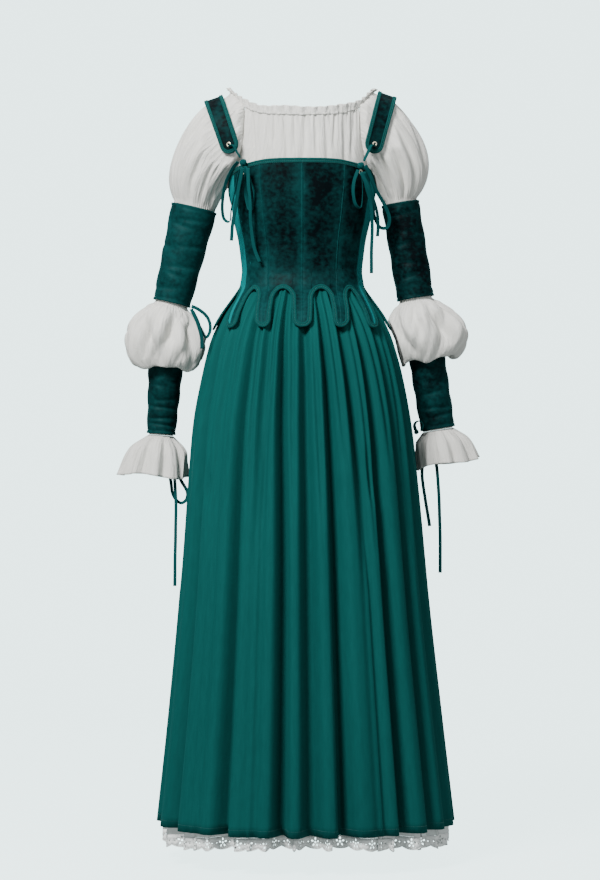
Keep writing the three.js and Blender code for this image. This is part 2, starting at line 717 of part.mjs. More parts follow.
function strapPoint({ side, crestOut, crestDown }, angle) {
  const end = angle > 0 ? STRAP_BACK : STRAP_FRONT;
  const fallen = 1 - Math.cos(degToRad(angle));
  const reach = Math.abs(Math.sin(degToRad(angle))) ** 0.85;
  const fore = angle > 0 ? -end.back * reach : end.front * reach;
  const x = side * lerp(crestOut, end.out, fallen);
  return new THREE.Vector3(x, fore, -lerp(crestDown, end.down, fallen));
}

// The strap's centre line with its directions: along it, across it outwards, and out of the cloth.
function strapFrame(strap, angle) {
  const along = strapPoint(strap, angle + 1).sub(strapPoint(strap, angle - 1)).normalize();
  const end = angle > 0 ? STRAP_BACK_ACROSS : STRAP_FRONT_ACROSS;
  const across = STRAP_SLOPE.clone().lerp(end, Math.abs(Math.sin(degToRad(angle))));
  across.x *= strap.side;
  across.addScaledVector(along, -across.dot(along)).normalize();
  const normal = along.clone().cross(across).normalize();
  const middle = strapPoint(strap, angle);
  if (normal.dot(middle.clone().sub(BODY_MIDDLE)) < 0) normal.negate();
  return { middle, along, across, normal };
}

const STRAP_ANGLES = [-89, -70, -45, -22, 0, 22, 45, 70, 80];

// Half of the strap's outline from the front end to the back point, as frames with a half width each.
function strapLine(strap, inset) {
  const half = STRAP_WIDTH / 2 - inset;
  const frames = STRAP_ANGLES.map((angle) => ({ ...strapFrame(strap, angle), half }));
  const tip = strapFrame(strap, 89);
  frames[0].middle.addScaledVector(frames[0].along, inset);
  frames.at(-1).middle.copy(tip.middle).addScaledVector(tip.along, -STRAP_POINT);
  tip.middle.addScaledVector(tip.along, -1.4 * inset);
  return [...frames, { ...tip, half: 1 }];
}

const acrossStrap = ({ middle, across, half }, share) =>
  middle.clone().addScaledVector(across, half * share);

function strapCloth(strap) {
  const inner = 1 - STRAP_BINDING_WIDTH / (STRAP_WIDTH / 2);
  const shares = [-1, -inner, inner, 1];
  const grid = strapLine(strap, 0).map((frame) => shares.map((share) => acrossStrap(frame, share)));
  return clothWall(grid, VELVET);
}

function strapBinding(strap) {
  const rim = (inset) => {
    const frames = strapLine(strap, inset);
    const there = frames.map((frame) => acrossStrap(frame, 1));
    return [...there, ...frames.map((frame) => acrossStrap(frame, -1)).reverse()];
  };
  const frames = strapLine(strap, 0);
  const normals = [...frames, ...[...frames].reverse()].map(({ normal }) => normal);
  return stripOn([rim(STRAP_BINDING_WIDTH), rim(0)], [normals, normals]);
}

for (const [name, strap] of Object.entries(STRAPS)) {
  addPiece(`strap_${name}`, strapCloth(strap), velvetCloth);
  addPiece(`strap_binding_${name}`, strapBinding(strap), bindingCloth);
}

// The cotton is pressed in under a strap, and swells up again beside it.
const STRAP_PRESS = 6.5;
const PRESS_FADE = 36;
const strapFrames = Object.values(STRAPS).flatMap((strap) =>
  steps(19).map((i) => strapFrame(strap, 10 * i - 90)),
);

function pressedByStraps(p) {
  for (const { middle, along, across, normal } of strapFrames) {
    const away = p.clone().sub(middle);
    if (Math.abs(away.dot(along)) > 12) continue;
    const beside = Math.max(0, Math.abs(away.dot(across)) - STRAP_WIDTH / 2) / PRESS_FADE;
    const height = away.dot(normal);
    const most = -STRAP_PRESS + 24 * beside ** 2;
    if (beside < 1 && height > most && height < 60) p.addScaledVector(normal, most - height);
  }
  return p;
}

// ---- Chemise sleeves ----
// Places round a sleeve go from 0 on the outer side through 90 at the front to 180 at the armpit, and
// back through -90.
const SLEEVE_COLUMNS = 18;
const NECK_PLACE = 60; // places nearer the top than this are on the neckline
const PUFF_SHARES = [0, 0.16, 0.36, 0.6, 0.84];
const PUFF_BULGE = { left: 0.19, right: 0.32 };
const TILTS = { left: [13.5, 9, 4], right: [9.3, 9.3, 9.3] }; // upper arm, elbow, lower arm

const sleevePlaces = steps(SLEEVE_COLUMNS).map((c) => (360 * c) / SLEEVE_COLUMNS - 180);

function raglanPoint(side, place) {
  const front = place > 0;
  const centre = front ? 180 : 0;
  const turn = (round) => (front ? centre - round : round) * side;
  if (Math.abs(place) <= NECK_PLACE) {
    const round = 90 - ((90 - NECK_CORNER) * Math.abs(place)) / NECK_PLACE;
    return onChemise(turn(round), necklineDown(turn(round)));
  }
  const share = (Math.abs(place) - NECK_PLACE) / (180 - NECK_PLACE);
  const down = lerp(necklineDown(centre + NECK_CORNER), RAGLAN_END, share);
  return onChemise(turn(raglanTurn(share)), down);
}

// A point on a tilted ring round an arm. The outer side is the raised one.
function armPoint({ out, fore, down, wide, deep }, side, tilt, place, extra = 0) {
  const outwards = (wide + extra) * Math.cos(degToRad(place));
  const forwards = (deep + extra) * Math.sin(degToRad(place));
  const rise = degToRad(tilt);
  return new THREE.Vector3(
    side * (out + outwards * Math.cos(rise)),
    fore + forwards,
    -down + outwards * Math.sin(rise),
  );
}

const tiltAt = (name, down) => {
  const [upper, elbow, lower] = TILTS[name];
  return down < 400 ? upper : down < 470 ? elbow : lower;
};

// The shoulder puff swells between the raglan seam and the top of the velvet tube.
function puffPoint(name, side, place, share) {
  const ring = COTTON_SLEEVE[name][0];
  const from = raglanPoint(side, place);
  const to = armPoint(ring, side, TILTS[name][0], place);
  const size = from.distanceTo(to);
  const outwards = Math.cos(degToRad(place));
  const forwards = Math.sin(degToRad(place));
  const leave = new THREE.Vector3(side * (0.7 + 0.3 * outwards), forwards, -0.4 * (1 - outwards));
  const arrive = new THREE.Vector3(side * outwards * PUFF_BULGE[name], 0.2 * forwards, 0.36);
  const curve = new THREE.CubicBezierCurve3(
    from,
    from.clone().addScaledVector(leave, 0.21 * size),
    to.clone().addScaledVector(arrive, size),
    to,
  );
  return curve.getPoint(share);
}

// The upper piece is the shoulder puff. It is sewn to the elbow piece halfway down the upper tube.
function cottonSleeve(name, side) {
  const puff = PUFF_SHARES.map((share) => sleevePlaces.map((place) => puffPoint(name, side, place, share)));
  const rings = COTTON_SLEEVE[name].map((ring) =>
    sleevePlaces.map((place, c) => {
      const gather = c % 2 ? ring.wave : -ring.wave;
      return armPoint(ring, side, tiltAt(name, ring.down), place, gather);
    }),
  );
  const midZ = (c) => (rings[0][c].z + rings[1][c].z) / 2;
  const seam = (gap) => rings[0].map((p, c) => p.clone().lerp(rings[1][c], 0.5).setZ(midZ(c) - gap));
  const clear = (rows) => rows.map((row) => row.map((p) => clearOfBody(pressedByStraps(p))));
  return {
    upper: [puff[0], ...clear([...puff.slice(1), rings[0], seam(0)])],
    lower: clear([seam(SEAM_GAP), ...rings.slice(1)]),
  };
}

const WRIST_WAVES = 12;
const COLUMNS_PER_WAVE = 3;

function wristFrill(name, side) {
  const columns = WRIST_WAVES * COLUMNS_PER_WAVE;
  return WRIST_FRILL[name].map((ring) =>
    steps(columns).map((c) => {
      const wave = ring.wave * Math.cos((2 * Math.PI * c) / COLUMNS_PER_WAVE);
      return clearOfBody(armPoint(ring, side, tiltAt(name, ring.down), (360 * c) / columns, wave));
    }),
  );
}

for (const [name, side] of [["left", LEFT], ["right", RIGHT]]) {
  const { upper, lower } = cottonSleeve(name, side);
  addPiece(`chemise_sleeve_${name}`, clothWall(upper, COTTON, { ring: true }), cottonCloth);
  addPiece(`chemise_elbow_${name}`, clothWall(lower, COTTON, { ring: true }), cottonCloth);
  addPiece(`wrist_frill_${name}`, clothWall(wristFrill(name, side), COTTON, { ring: true }), cottonCloth);
}

// ---- Neck frill ----
// Its foot follows the neckline's own points, with one wave to each stretch between them.
function neckFrill() {
  const halfWaves = [0, 1];
  const round = [0, 180].flatMap((centre) => [
    ...steps(BODY_COLUMNS).map((c) => centre + NECK_CORNER * ((2 * c) / BODY_COLUMNS - 1)),
    ...steps(6).map((c) => centre + lerp(NECK_CORNER, 180 - NECK_CORNER, c / 6)),
  ]);
  const foot = round.flatMap((turn, i) => {
    const from = onChemise(turn, necklineDown(turn));
    const nextTurn = round[(i + 1) % round.length];
    const to = onChemise(nextTurn, necklineDown(nextTurn));
    return halfWaves.map((half) => from.clone().lerp(to, half / 2));
  });
  const row = (height, wave) =>
    foot.map((p, c) => {
      const outwards = new THREE.Vector3(p.x, p.y, 0).normalize();
      return p.clone().addScaledVector(outwards, c % 2 ? wave : -wave).setZ(p.z + height);
    });
  return clothWall([row(FRILL_HEIGHT, 3), row(FRILL_FOOT, 0)], COTTON, { ring: true });
}

addPiece("neck_frill", neckFrill(), cottonCloth);

// ---- Velvet tubes ----
const TUBE_COLUMNS = 16;
for (const { name, side, top, bottom } of VELVET_TUBES) {
  const lean = Math.atan2(bottom.out - top.out, bottom.down - top.down) * (180 / Math.PI);
  const rows = [top, bottom].map((ring) =>
    steps(TUBE_COLUMNS).map((c) => armPoint(ring, side, lean, (360 * c) / TUBE_COLUMNS)),
  );
  addPiece(name, clothWall(rows, VELVET, { ring: true }), velvetCloth);
}

// ---- Eyelets ----
// Brass rings on the straps' points and on the bodice beside them.
const EYELET = { hole: 2.1, rim: 4.6, height: 1.2 };
const BODICE_EYELET = { turn: 49, down: 151 };

function addEyelet(name, cloth, out, inwards) {
  const [spot] = new THREE.Raycaster(out, inwards).intersectObject(dress.getObjectByName(cloth));
  const { hole, rim, height } = EYELET;
  const profile = [[hole, 0], [rim, 0], [rim, height], [hole, height], [hole, 0]];
  const geometry = new THREE.LatheGeometry(profile.map(([x, y]) => new THREE.Vector2(x, y)), 8);
  const ring = addPiece(name, geometry, brass);
  ring.position.copy(spot.point).addScaledVector(spot.face.normal, 2 * SEAM_GAP);
  ring.quaternion.setFromUnitVectors(new THREE.Vector3(0, 1, 0), spot.face.normal);
}

for (const [name, strap] of Object.entries(STRAPS)) {
  const { middle, normal } = strapFrame(strap, 81);
  addEyelet(`strap_eyelet_${name}`, `strap_${name}`, middle.addScaledVector(normal, 20), normal.negate());
  const { turn, down } = BODICE_EYELET;
  const outside = onBodice(strap.side * turn, down, 20);
  const inwards = onBodice(strap.side * turn, down).sub(outside).normalize();
  addEyelet(`bodice_eyelet_${name}`, `bodice_back_middle_${name}`, outside, inwards);
}

// ---- Ribbon ties ----
// Flat crepe ribbon that hangs free from small knots. Each route is a list of points [x, y, z].
const RIBBON_WIDTH = 6.5;
const RIBBON_THICKNESS = 1.6;
const RIBBON_STEP = 3 * RIBBON_WIDTH;
const RIBBON_LEAST_STEPS = 5;
const RIBBONS = {
  shoulder_lacing_left: [[-126, -87, -104], [-119, -88, -116], [-112, -87, -127]],
  shoulder_loop_inner_left: [
    [-103, -85, -142], [-102, -81, -167], [-102, -76, -195], [-95, -79, -221], [-87, -87, -196],
    [-94, -89, -167], [-101, -91, -144],
  ],
  shoulder_tail_inner_left: [
    [-98, -96, -146], [-97, -96, -180], [-94, -92, -215], [-93, -82, -250], [-87, -75, -290],
    [-77, -75, -316],
  ],
  shoulder_loop_outer_left: [
    [-116.5, -84, -134], [-126, -76, -144], [-137, -68, -165], [-144, -62, -192], [-146, -58, -218],
    [-142, -56, -236], [-133, -60, -241], [-129, -67, -220], [-124, -74, -193], [-117, -82, -160],
    [-112, -90, -145],
  ],
  shoulder_tail_outer_left: [
    [-108, -97, -146], [-114, -90, -175], [-121, -78, -215], [-127, -68, -248], [-129, -63, -276],
  ],
  shoulder_lacing_right: [[127, -87, -104], [119, -89, -119], [112, -89, -133]],
  shoulder_loop_inner_right: [
    [102, -88, -149], [95, -89, -169], [93, -86, -192], [98, -80, -212], [106, -75, -217],
    [110, -79, -195], [110, -87, -168], [107, -93, -153],
  ],
  shoulder_loop_outer_right: [
    [115, -87, -141], [123, -80, -156], [135, -70, -184], [152, -62, -213], [160, -58, -236],
    [156, -56, -251], [144, -60, -252], [133, -67, -236], [129, -75, -211], [122, -86, -178],
    [114, -96, -154],
  ],
  shoulder_tail_long_right: [
    [110, -101, -154], [117, -96, -180], [126, -83, -215], [128, -70, -250], [127, -60, -290],
    [127, -54, -335],
  ],
  shoulder_tail_short_right: [
    [107, -106, -156], [121, -102, -182], [131, -90, -207], [137, -74, -228], [139, -66, -250],
    [138, -61, -268],
  ],
  elbow_loop_left: [
    [-203, -33, -394], [-190, -34, -400], [-175, -35, -413], [-169, -36, -428], [-170, -37, -443],
    [-176, -39, -452], [-184, -41, -441], [-191, -42, -420], [-200, -42, -403],
  ],
  elbow_tail_left: [[-203, -49, -400], [-191, -54, -427], [-184, -57, -451], [-183, -57, -473]],
  wrist_tail_left: [
    [-250, 34, -642], [-241, 27, -680], [-236, 20, -718], [-234, 16, -770], [-235, 14, -834],
    [-236, 14, -911],
  ],
  wrist_loop_left: [
    [-258, 42, -645], [-249, 35, -690], [-244, 31, -719], [-241, 29, -739], [-234, 27, -751],
    [-225, 27, -757], [-216, 28, -752], [-213, 30, -738], [-227, 34, -712], [-238, 41, -680],
    [-251, 48, -648],
  ],
  wrist_loop_right: [
    [211, 27, -621], [209, 20, -613], [213, 14, -606], [220, 12, -606], [225, 13, -613], [221, 18, -621],
  ],
  wrist_tail_short_right: [
    [240, 34, -630], [230, 27, -665], [223, 22, -700], [229, 18, -750], [237, 16, -800],
  ],
  wrist_tail_long_right: [
    [250, 28, -630], [247, 19, -665], [251, 13, -700], [254, 10, -751], [256, 8, -825], [256, 8, -886],
  ],
};
const KNOTS = {
  shoulder_knot_left: { at: [-107, -82, -135], radius: 7 },
  shoulder_knot_right: { at: [107, -83, -141], radius: 7 },
  wrist_knot_right: { at: [213, 32, -625], radius: 5 },
};

// The section is turned so that the ribbon starts with its flat side to the front and back.
function ribbonGeometry(route) {
  const path = new THREE.CatmullRomCurve3(route.map((p) => new THREE.Vector3(...p)));
  const count = Math.max(RIBBON_LEAST_STEPS, Math.round(path.getLength() / RIBBON_STEP));
  const { normals, binormals } = path.computeFrenetFrames(count);
  const flat = Math.atan2(binormals[0].x, normals[0].x);
  const section = steps(8).map((i) => {
    const corner = (Math.PI * (i + 0.5)) / 4;
    const point = new THREE.Vector2(RIBBON_WIDTH * Math.cos(corner), RIBBON_THICKNESS * Math.sin(corner));
    return point.multiplyScalar(0.5 / Math.cos(Math.PI / 8)).rotateAround(new THREE.Vector2(), flat);
  });
  return new THREE.ExtrudeGeometry(new THREE.Shape(section), { steps: count, extrudePath: path });
}

for (const [name, route] of Object.entries(RIBBONS)) addPiece(name, ribbonGeometry(route), crepeCloth);

for (const [name, { at, radius }] of Object.entries(KNOTS))
  addPiece(name, new THREE.DodecahedronGeometry(radius), crepeCloth).position.set(...at);

export default dress;
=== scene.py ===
# A worn costume dress seen from behind: a velvet bodice and a gathered crepe skirt over a white cotton
# chemise. Metres, +Z up. The back of the dress faces -Y, and the origin is midway between the shoulders.
# "down" is a distance below the origin and "turn" a number of degrees round the body: 0 at the centre
# back, 90 at the wearer's right side and 180 at the centre front.
import math

import bmesh
import bpy
import numpy as np
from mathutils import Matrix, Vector


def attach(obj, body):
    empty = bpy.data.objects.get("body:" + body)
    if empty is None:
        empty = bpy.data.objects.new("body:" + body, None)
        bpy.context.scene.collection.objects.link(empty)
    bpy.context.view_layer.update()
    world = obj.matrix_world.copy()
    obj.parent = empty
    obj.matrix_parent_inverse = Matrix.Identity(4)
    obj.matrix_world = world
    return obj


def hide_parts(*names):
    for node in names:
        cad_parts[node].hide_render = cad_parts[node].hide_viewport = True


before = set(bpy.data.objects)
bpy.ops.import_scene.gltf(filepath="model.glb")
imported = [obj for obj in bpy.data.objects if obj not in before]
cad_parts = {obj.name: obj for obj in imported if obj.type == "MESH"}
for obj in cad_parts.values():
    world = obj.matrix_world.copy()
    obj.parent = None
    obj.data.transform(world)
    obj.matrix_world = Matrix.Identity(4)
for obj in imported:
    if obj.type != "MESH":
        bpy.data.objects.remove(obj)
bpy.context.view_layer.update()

# ---------------------------------------------------------------------------------------------------
# Studio. A pale seamless paper, lit from behind, sweeps from the floor up behind the dress. One large
# soft lamp stands high on the left and a weaker one on the right, in a pale room.
FLOOR = -1.414
PAPER_WIDTH = 14.0
PAPER_FRONT = -8.0
PAPER_BACK = 4.2
PAPER_SWEEP = 1.6
PAPER_HEIGHT = 5.0
SWEEP_STEPS = 24
GLOW_TO_CAMERA = 3.15
GLOW_TO_ROOM = 0.12
CAMERA_DISTANCE = 5.0
HALF_VIEW = 0.814


def new_object(name, shape, look):
    """A smooth object at the origin, made from a bmesh."""
    data = bpy.data.meshes.new(name)
    shape.to_mesh(data)
    shape.free()
    data.shade_smooth()
    data.materials.append(look)
    made = bpy.data.objects.new(name, data)
    bpy.context.scene.collection.objects.link(made)
    return made


def new_look(name, settings):
    """A material whose shader has these settings on its own sockets, with its node tree and shader."""
    look = bpy.data.materials.new(name)
    look.use_nodes = True
    shader = look.node_tree.nodes["Principled BSDF"]
    for socket, value in settings.items():
        shader.inputs[socket].default_value = value
    return look, look.node_tree, shader


def math_node(tree, operation, first, second, third=None):
    node = tree.nodes.new("ShaderNodeMath")
    node.operation = operation
    for socket, value in zip(node.inputs, (first, second, third)):
        if isinstance(value, (int, float)):
            socket.default_value = value
        elif value is not None:
            tree.links.new(value, socket)
    return node.outputs[0]


paper = bmesh.new()
paper_spots = [(PAPER_FRONT, FLOOR), (PAPER_BACK - PAPER_SWEEP, FLOOR)]
for i in range(1, SWEEP_STEPS + 1):
    angle = math.radians(90 * i / SWEEP_STEPS)
    y = PAPER_BACK - PAPER_SWEEP + PAPER_SWEEP * math.sin(angle)
    paper_spots.append((y, FLOOR + PAPER_SWEEP * (1 - math.cos(angle))))
paper_spots.append((PAPER_BACK, FLOOR + PAPER_HEIGHT))
paper_line = [paper.verts.new((-PAPER_WIDTH / 2, y, z)) for y, z in paper_spots]
paper_edges = [paper.edges.new(pair) for pair in zip(paper_line, paper_line[1:])]
swept = bmesh.ops.extrude_edge_only(paper, edges=paper_edges)["geom"]
paper_corners = [v for v in swept if isinstance(v, bmesh.types.BMVert)]
bmesh.ops.translate(paper, verts=paper_corners, vec=(PAPER_WIDTH, 0, 0))
bmesh.ops.recalc_face_normals(paper, faces=paper.faces[:])
if paper.faces[0].normal.z < 0:
    bmesh.ops.reverse_faces(paper, faces=paper.faces[:])
paper_look, paper_tree, paper_shader = new_look("seamless paper", {
    "Base Color": (0.22, 0.23, 0.23, 1), "Emission Color": (0.77, 1.0, 1.0, 1), "Roughness": 0.9,
})
seen_paper = paper_tree.nodes.new("ShaderNodeLightPath")
paper_glow = math_node(
    paper_tree, "MULTIPLY_ADD", seen_paper.outputs["Is Camera Ray"], GLOW_TO_CAMERA, GLOW_TO_ROOM
)
paper_tree.links.new(paper_glow, paper_shader.inputs["Emission Strength"])
new_object("backdrop", paper, paper_look)

camera = bpy.data.objects.new("camera", bpy.data.cameras.new("camera"))
bpy.context.scene.collection.objects.link(camera)
camera.location = (-0.0037, -CAMERA_DISTANCE, -0.64)
camera.rotation_euler = (math.radians(90), 0, 0)
camera.data.sensor_fit = "VERTICAL"
camera.data.angle = 2 * math.atan(HALF_VIEW / CAMERA_DISTANCE)
camera.data.clip_end = 40
bpy.context.scene.camera = camera


def soft_lamp(name, place, aim, size, watts):
    lamp = bpy.data.lights.new(name, "AREA")
    lamp.shape = "SQUARE"
    lamp.size = size
    lamp.energy = watts
    holder = bpy.data.objects.new(name, lamp)
    holder.location = place
    holder.rotation_euler = (Vector(aim) - Vector(place)).to_track_quat("-Z", "Y").to_euler()
    bpy.context.scene.collection.objects.link(holder)


soft_lamp("key lamp", (-1.45, -2.5, 1.85), (0, 0, -0.25), 1.0, 290)
soft_lamp("fill lamp", (3.0, -3.2, 1.4), (0, 0, -0.2), 2.0, 46)
soft_lamp("top lamp", (0.0, 0.6, 2.6), (0, 0, -0.4), 2.0, 50)
room = bpy.data.worlds.new("pale room")
room.use_nodes = True
room.node_tree.nodes["Background"].inputs["Color"].default_value = (0.90, 0.96, 1.0, 1)
room.node_tree.nodes["Background"].inputs["Strength"].default_value = 0.36
bpy.context.scene.world = room

# ---------------------------------------------------------------------------------------------------
# Crepe skirt. Gored panels of crepe are gathered tightly to the waist and fall in uneven pipes, with a
# narrow turned hem. The valleys lie deepest towards the hem, and small gathers open out at the top.
ROUNDNESS = 2.2
WAIST = 0.345
SKIRT_TOP = 0.338
SKIRT_HEM = 1.343
CREPE = 0.0014
FOLD_GAIN = 1.35
CREASE_GAIN = 1.3
PIPE_LEAN = 1.25
SKIRT_COLUMNS = 24 * 15 + 1
SKIRT_ROWS = 66

# How much is left at the hem of the valleys that fade out or deepen, by their place in the list.
FADING_FOLDS = {2: 0.1, 3: 1.1, 4: 0.1, 8: 0.1, 9: 1.1, 10: 1.1, 11: 0.3}

# down, side, back, front, shift
SKIRT = [
    (0.338, 0.1075, 0.0755, 0.081, 0), (0.345, 0.109, 0.077, 0.082, 0),
    (0.36, 0.1125, 0.0825, 0.085, 0), (0.381, 0.1265, 0.1005, 0.097, 0),
    (0.409, 0.1465, 0.1225, 0.118, 0), (0.436, 0.161, 0.139, 0.133, 0), (0.464, 0.172, 0.152, 0.146, 0),
    (0.52, 0.187, 0.166, 0.159, 0.001), (0.603, 0.203, 0.178, 0.171, 0.001),
    (0.714, 0.214, 0.19, 0.182, 0.002), (0.936, 0.232, 0.208, 0.2, 0.004),
    (1.158, 0.255, 0.226, 0.217, 0.006), (1.343, 0.276, 0.24, 0.23, 0.007),
]

# waist, hem, depth
VALLEYS = [
    (-84, -84, 0.5), (-65, -62, 0.8), (-46, -47, 0.3), (-31, -33, 0.75), (-20, -20, 0.45), (-11, -9, 1),
    (1, 1, 0.85), (11, 13, 1), (23, 28, 0.9), (37, 38, 0.95), (53, 56, 0.6), (69, 68, 0.7),
    (85, 83, 0.5), (101, 99, 0.8), (117, 118, 0.65), (133, 131, 0.9), (148, 149, 0.7), (164, 161, 0.95),
    (179, 180, 0.8), (194, 197, 1), (210, 209, 0.6), (226, 228, 0.9), (243, 241, 0.7), (260, 260, 0.85),
]

# down, fold, gather
FOLD_DEPTH = [
    (0.338, 0.002, 0.002), (0.36, 0.0035, 0.004), (0.409, 0.008, 0.006), (0.464, 0.014, 0.005),
    (0.603, 0.021, 0.0025), (0.8, 0.026, 0.0005), (1, 0.029, 0), (1.343, 0.034, 0),
]

# Long soft creases between the pipes: turn, drift in turn, start, end, depth, half width in turn.
SKIRT_CREASES = [
    (-76, -2, 0.36, 0.688, 0.0036, 1.8), (-70, 2, 0.5, 0.62, 0.0045, 2),
    (-55, 3, 0.35, 0.79, 0.0045, 1.6), (-52, -2, 0.7, 0.756, 0.0054, 1.8),
    (-39, -3, 0.35, 0.722, 0.0054, 1.5), (-25.5, 1, 0.36, 0.79, 0.0045, 1.3),
    (-15.5, -2, 0.4, 0.79, 0.0063, 1.4), (-5, 1.5, 0.36, 0.79, 0.0045, 1.3),
    (5.6, 2, 0.45, 0.79, 0.0063, 1.4), (16.5, 3, 0.36, 0.688, 0.0054, 1.5),
    (31, 3, 0.38, 0.85, 0.0045, 1.5), (33.5, -1, 0.75, 0.654, 0.0054, 1.5),
    (46, 2, 0.36, 0.688, 0.0054, 1.7), (61.5, -1, 0.42, 0.858, 0.0054, 1.8),
    (76, 1, 0.36, 0.688, 0.0045, 1.8), (93, -2, 0.4, 0.654, 0.0054, 1.9),
    (109, 2, 0.36, 0.722, 0.0045, 1.8), (126, -2, 0.5, 0.688, 0.0054, 1.9),
    (141, 2, 0.36, 0.858, 0.0054, 1.8), (156, -1, 0.42, 0.688, 0.0045, 1.6),
    (171, 2, 0.36, 0.858, 0.0054, 1.6), (187, -2, 0.45, 0.926, 0.0054, 1.7),
    (203, 1, 0.36, 0.654, 0.0045, 1.7), (218, 2, 0.5, 0.824, 0.0054, 1.8),
    (235, -2, 0.36, 0.79, 0.0054, 1.9), (251, 1, 0.4, 0.858, 0.0045, 1.9),
    (267, 2, 0.36, 0.926, 0.0054, 1.9),
]


def blend(table, at):
    """Smoothly blended rows of a table whose first column is the key, one for each value of at."""
    rows = np.array(table, float)
    key, value = rows[:, 0], rows[:, 1:]
    last = len(key) - 1
    before = np.clip(np.arange(len(key)) - 1, 0, last)
    after = np.clip(np.arange(len(key)) + 1, 0, last)
    slope = (value[after] - value[before]) / (key[after] - key[before])[:, None]
    at = np.clip(np.asarray(at, float), key[0], key[-1])
    i = np.clip(np.searchsorted(key, at, side="right") - 1, 0, last - 1)
    span = (key[i + 1] - key[i])[..., None]
    f = (at - key[i])[..., None] / span
    here, there = value[i], value[i + 1]
    leave, arrive = slope[i] * span, slope[i + 1] * span
    rise = 3 * (there - here) - 2 * leave - arrive
    return here + f * (leave + f * (rise + f * (2 * (here - there) + leave + arrive)))


def cos_of(degrees):
    return np.cos(np.radians(degrees))


def sin_of(degrees):
    return np.sin(np.radians(degrees))


def squared(v):
    return np.sign(v) * np.abs(v) ** (2 / ROUNDNESS)


def ring_point(size, turn, down, out=0.0, shift=0.0):
    """Points on level rings whose half sizes are side, back and front."""
    sideways = squared(sin_of(turn))
    backwards = squared(cos_of(turn))
    depth = np.where(backwards > 0, size[..., 1], size[..., 2])
    x = (size[..., 0] + out) * sideways + shift
    return np.stack([x, -(depth + out) * backwards, -down + 0 * x], axis=-1)


def hump(away, half):
    """1 in the middle of a soft ridge, and nothing a few half widths away from it."""
    return np.exp(-((away / half) ** 2))


def soft_step(at, low, high):
    f = np.clip((at - low) / (high - low), 0, 1)
    return f * f * (3 - 2 * f)


def crease_depth(across, along, creases, wrap=360.0):
    """Depth of listed creases: where, drift, start, end, depth and half width of each."""
    depth = np.zeros(np.broadcast(across, along).shape)
    for where, drift, start, end, most, half in creases:
        f = np.clip((along - start) / (end - start), 0, 1)
        away = (across - where - drift * f + wrap / 2) % wrap - wrap / 2
        depth += most * np.sin(np.pi * f) ** 0.7 * hump(away, half)
    return depth


def fold_at(place, down):
    """Turn and depth of the skirt's folds. A whole place is a valley, and a half place a crest."""
    folds = np.array(VALLEYS, float)
    count = len(folds)
    valley = np.floor(place).astype(int)
    here, there = folds[valley % count], folds[(valley + 1) % count]
    opened = soft_step(down, WAIST, 0.9)
    from_turn = here[..., 0] + (here[..., 1] - here[..., 0]) * opened
    to_turn = there[..., 0] + (there[..., 1] - there[..., 0]) * opened
    to_turn = to_turn + np.where(valley % count == count - 1, 360, 0)
    across = place - valley
    fold, gather = np.moveaxis(blend(FOLD_DEPTH, down), -1, 0)
    left = np.array([FADING_FOLDS.get(i, 1) for i in range(count)])
    kept = 1 - (1 - left) * soft_step(down, 0.55, 0.95)[..., None]
    near, far = [
        np.take_along_axis(kept, (k % count)[..., None], axis=-1)[..., 0] for k in (valley, valley + 1)
    ]
    share = here[..., 2] * near * (1 - across) + there[..., 2] * far * across
    inwards = FOLD_GAIN * fold * share * ((1 + np.cos(2 * np.pi * across**PIPE_LEAN)) / 2) ** 2.0
    inwards = inwards + gather * (1 + np.cos(4 * np.pi * across)) / 2
    return from_turn + (to_turn - from_turn) * across, inwards


def skirt_points(place, down):
    size = blend(SKIRT, down)
    turn, inwards = fold_at(place, down)
    inwards = inwards + CREASE_GAIN * crease_depth(turn, down, SKIRT_CREASES)
    fine = 0.0007 * np.cos(2 * np.pi * 5 * place + 2.0 * np.sin(place))
    fine = fine * (1 - soft_step(down, 0.36, 0.52))
    return ring_point(size, turn, down, -inwards - fine, size[..., 3])


def grid_of(columns, rows):
    """Two arrays, rows x columns, from the places across and along the cloth."""
    return np.meshgrid(np.asarray(columns, float), np.asarray(rows, float))


def run_along(line):
    """Distances along a line of points, from its start."""
    return np.concatenate([[0], np.cumsum(np.linalg.norm(np.diff(line, axis=0), axis=1))])


def spot_on(at, reach, line):
    """Points of a line at distances along it."""
    return np.stack([np.interp(at, reach, line[:, k]) for k in range(3)], axis=-1)


def new_piece(name, shape, look, nodes=(), thickness=0.0):
    """A finished piece of the dress. A cloth's thickness lies on its inner side."""
    piece = new_object(name, shape, look)
    if thickness:
        wall = piece.modifiers.new("thickness", "SOLIDIFY")
        wall.thickness = thickness
        wall.offset = -1
    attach(piece, "root")
    if nodes:
        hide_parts(*nodes)
    return piece


# The least share of its rectangle that sew takes a sheet's area to be. It changes two sheets only: the crepe
# side panels measure 0.297 and 0.298 of theirs, so the area taken for them is about 4% too large.
LEAST_SHARE = 0.31


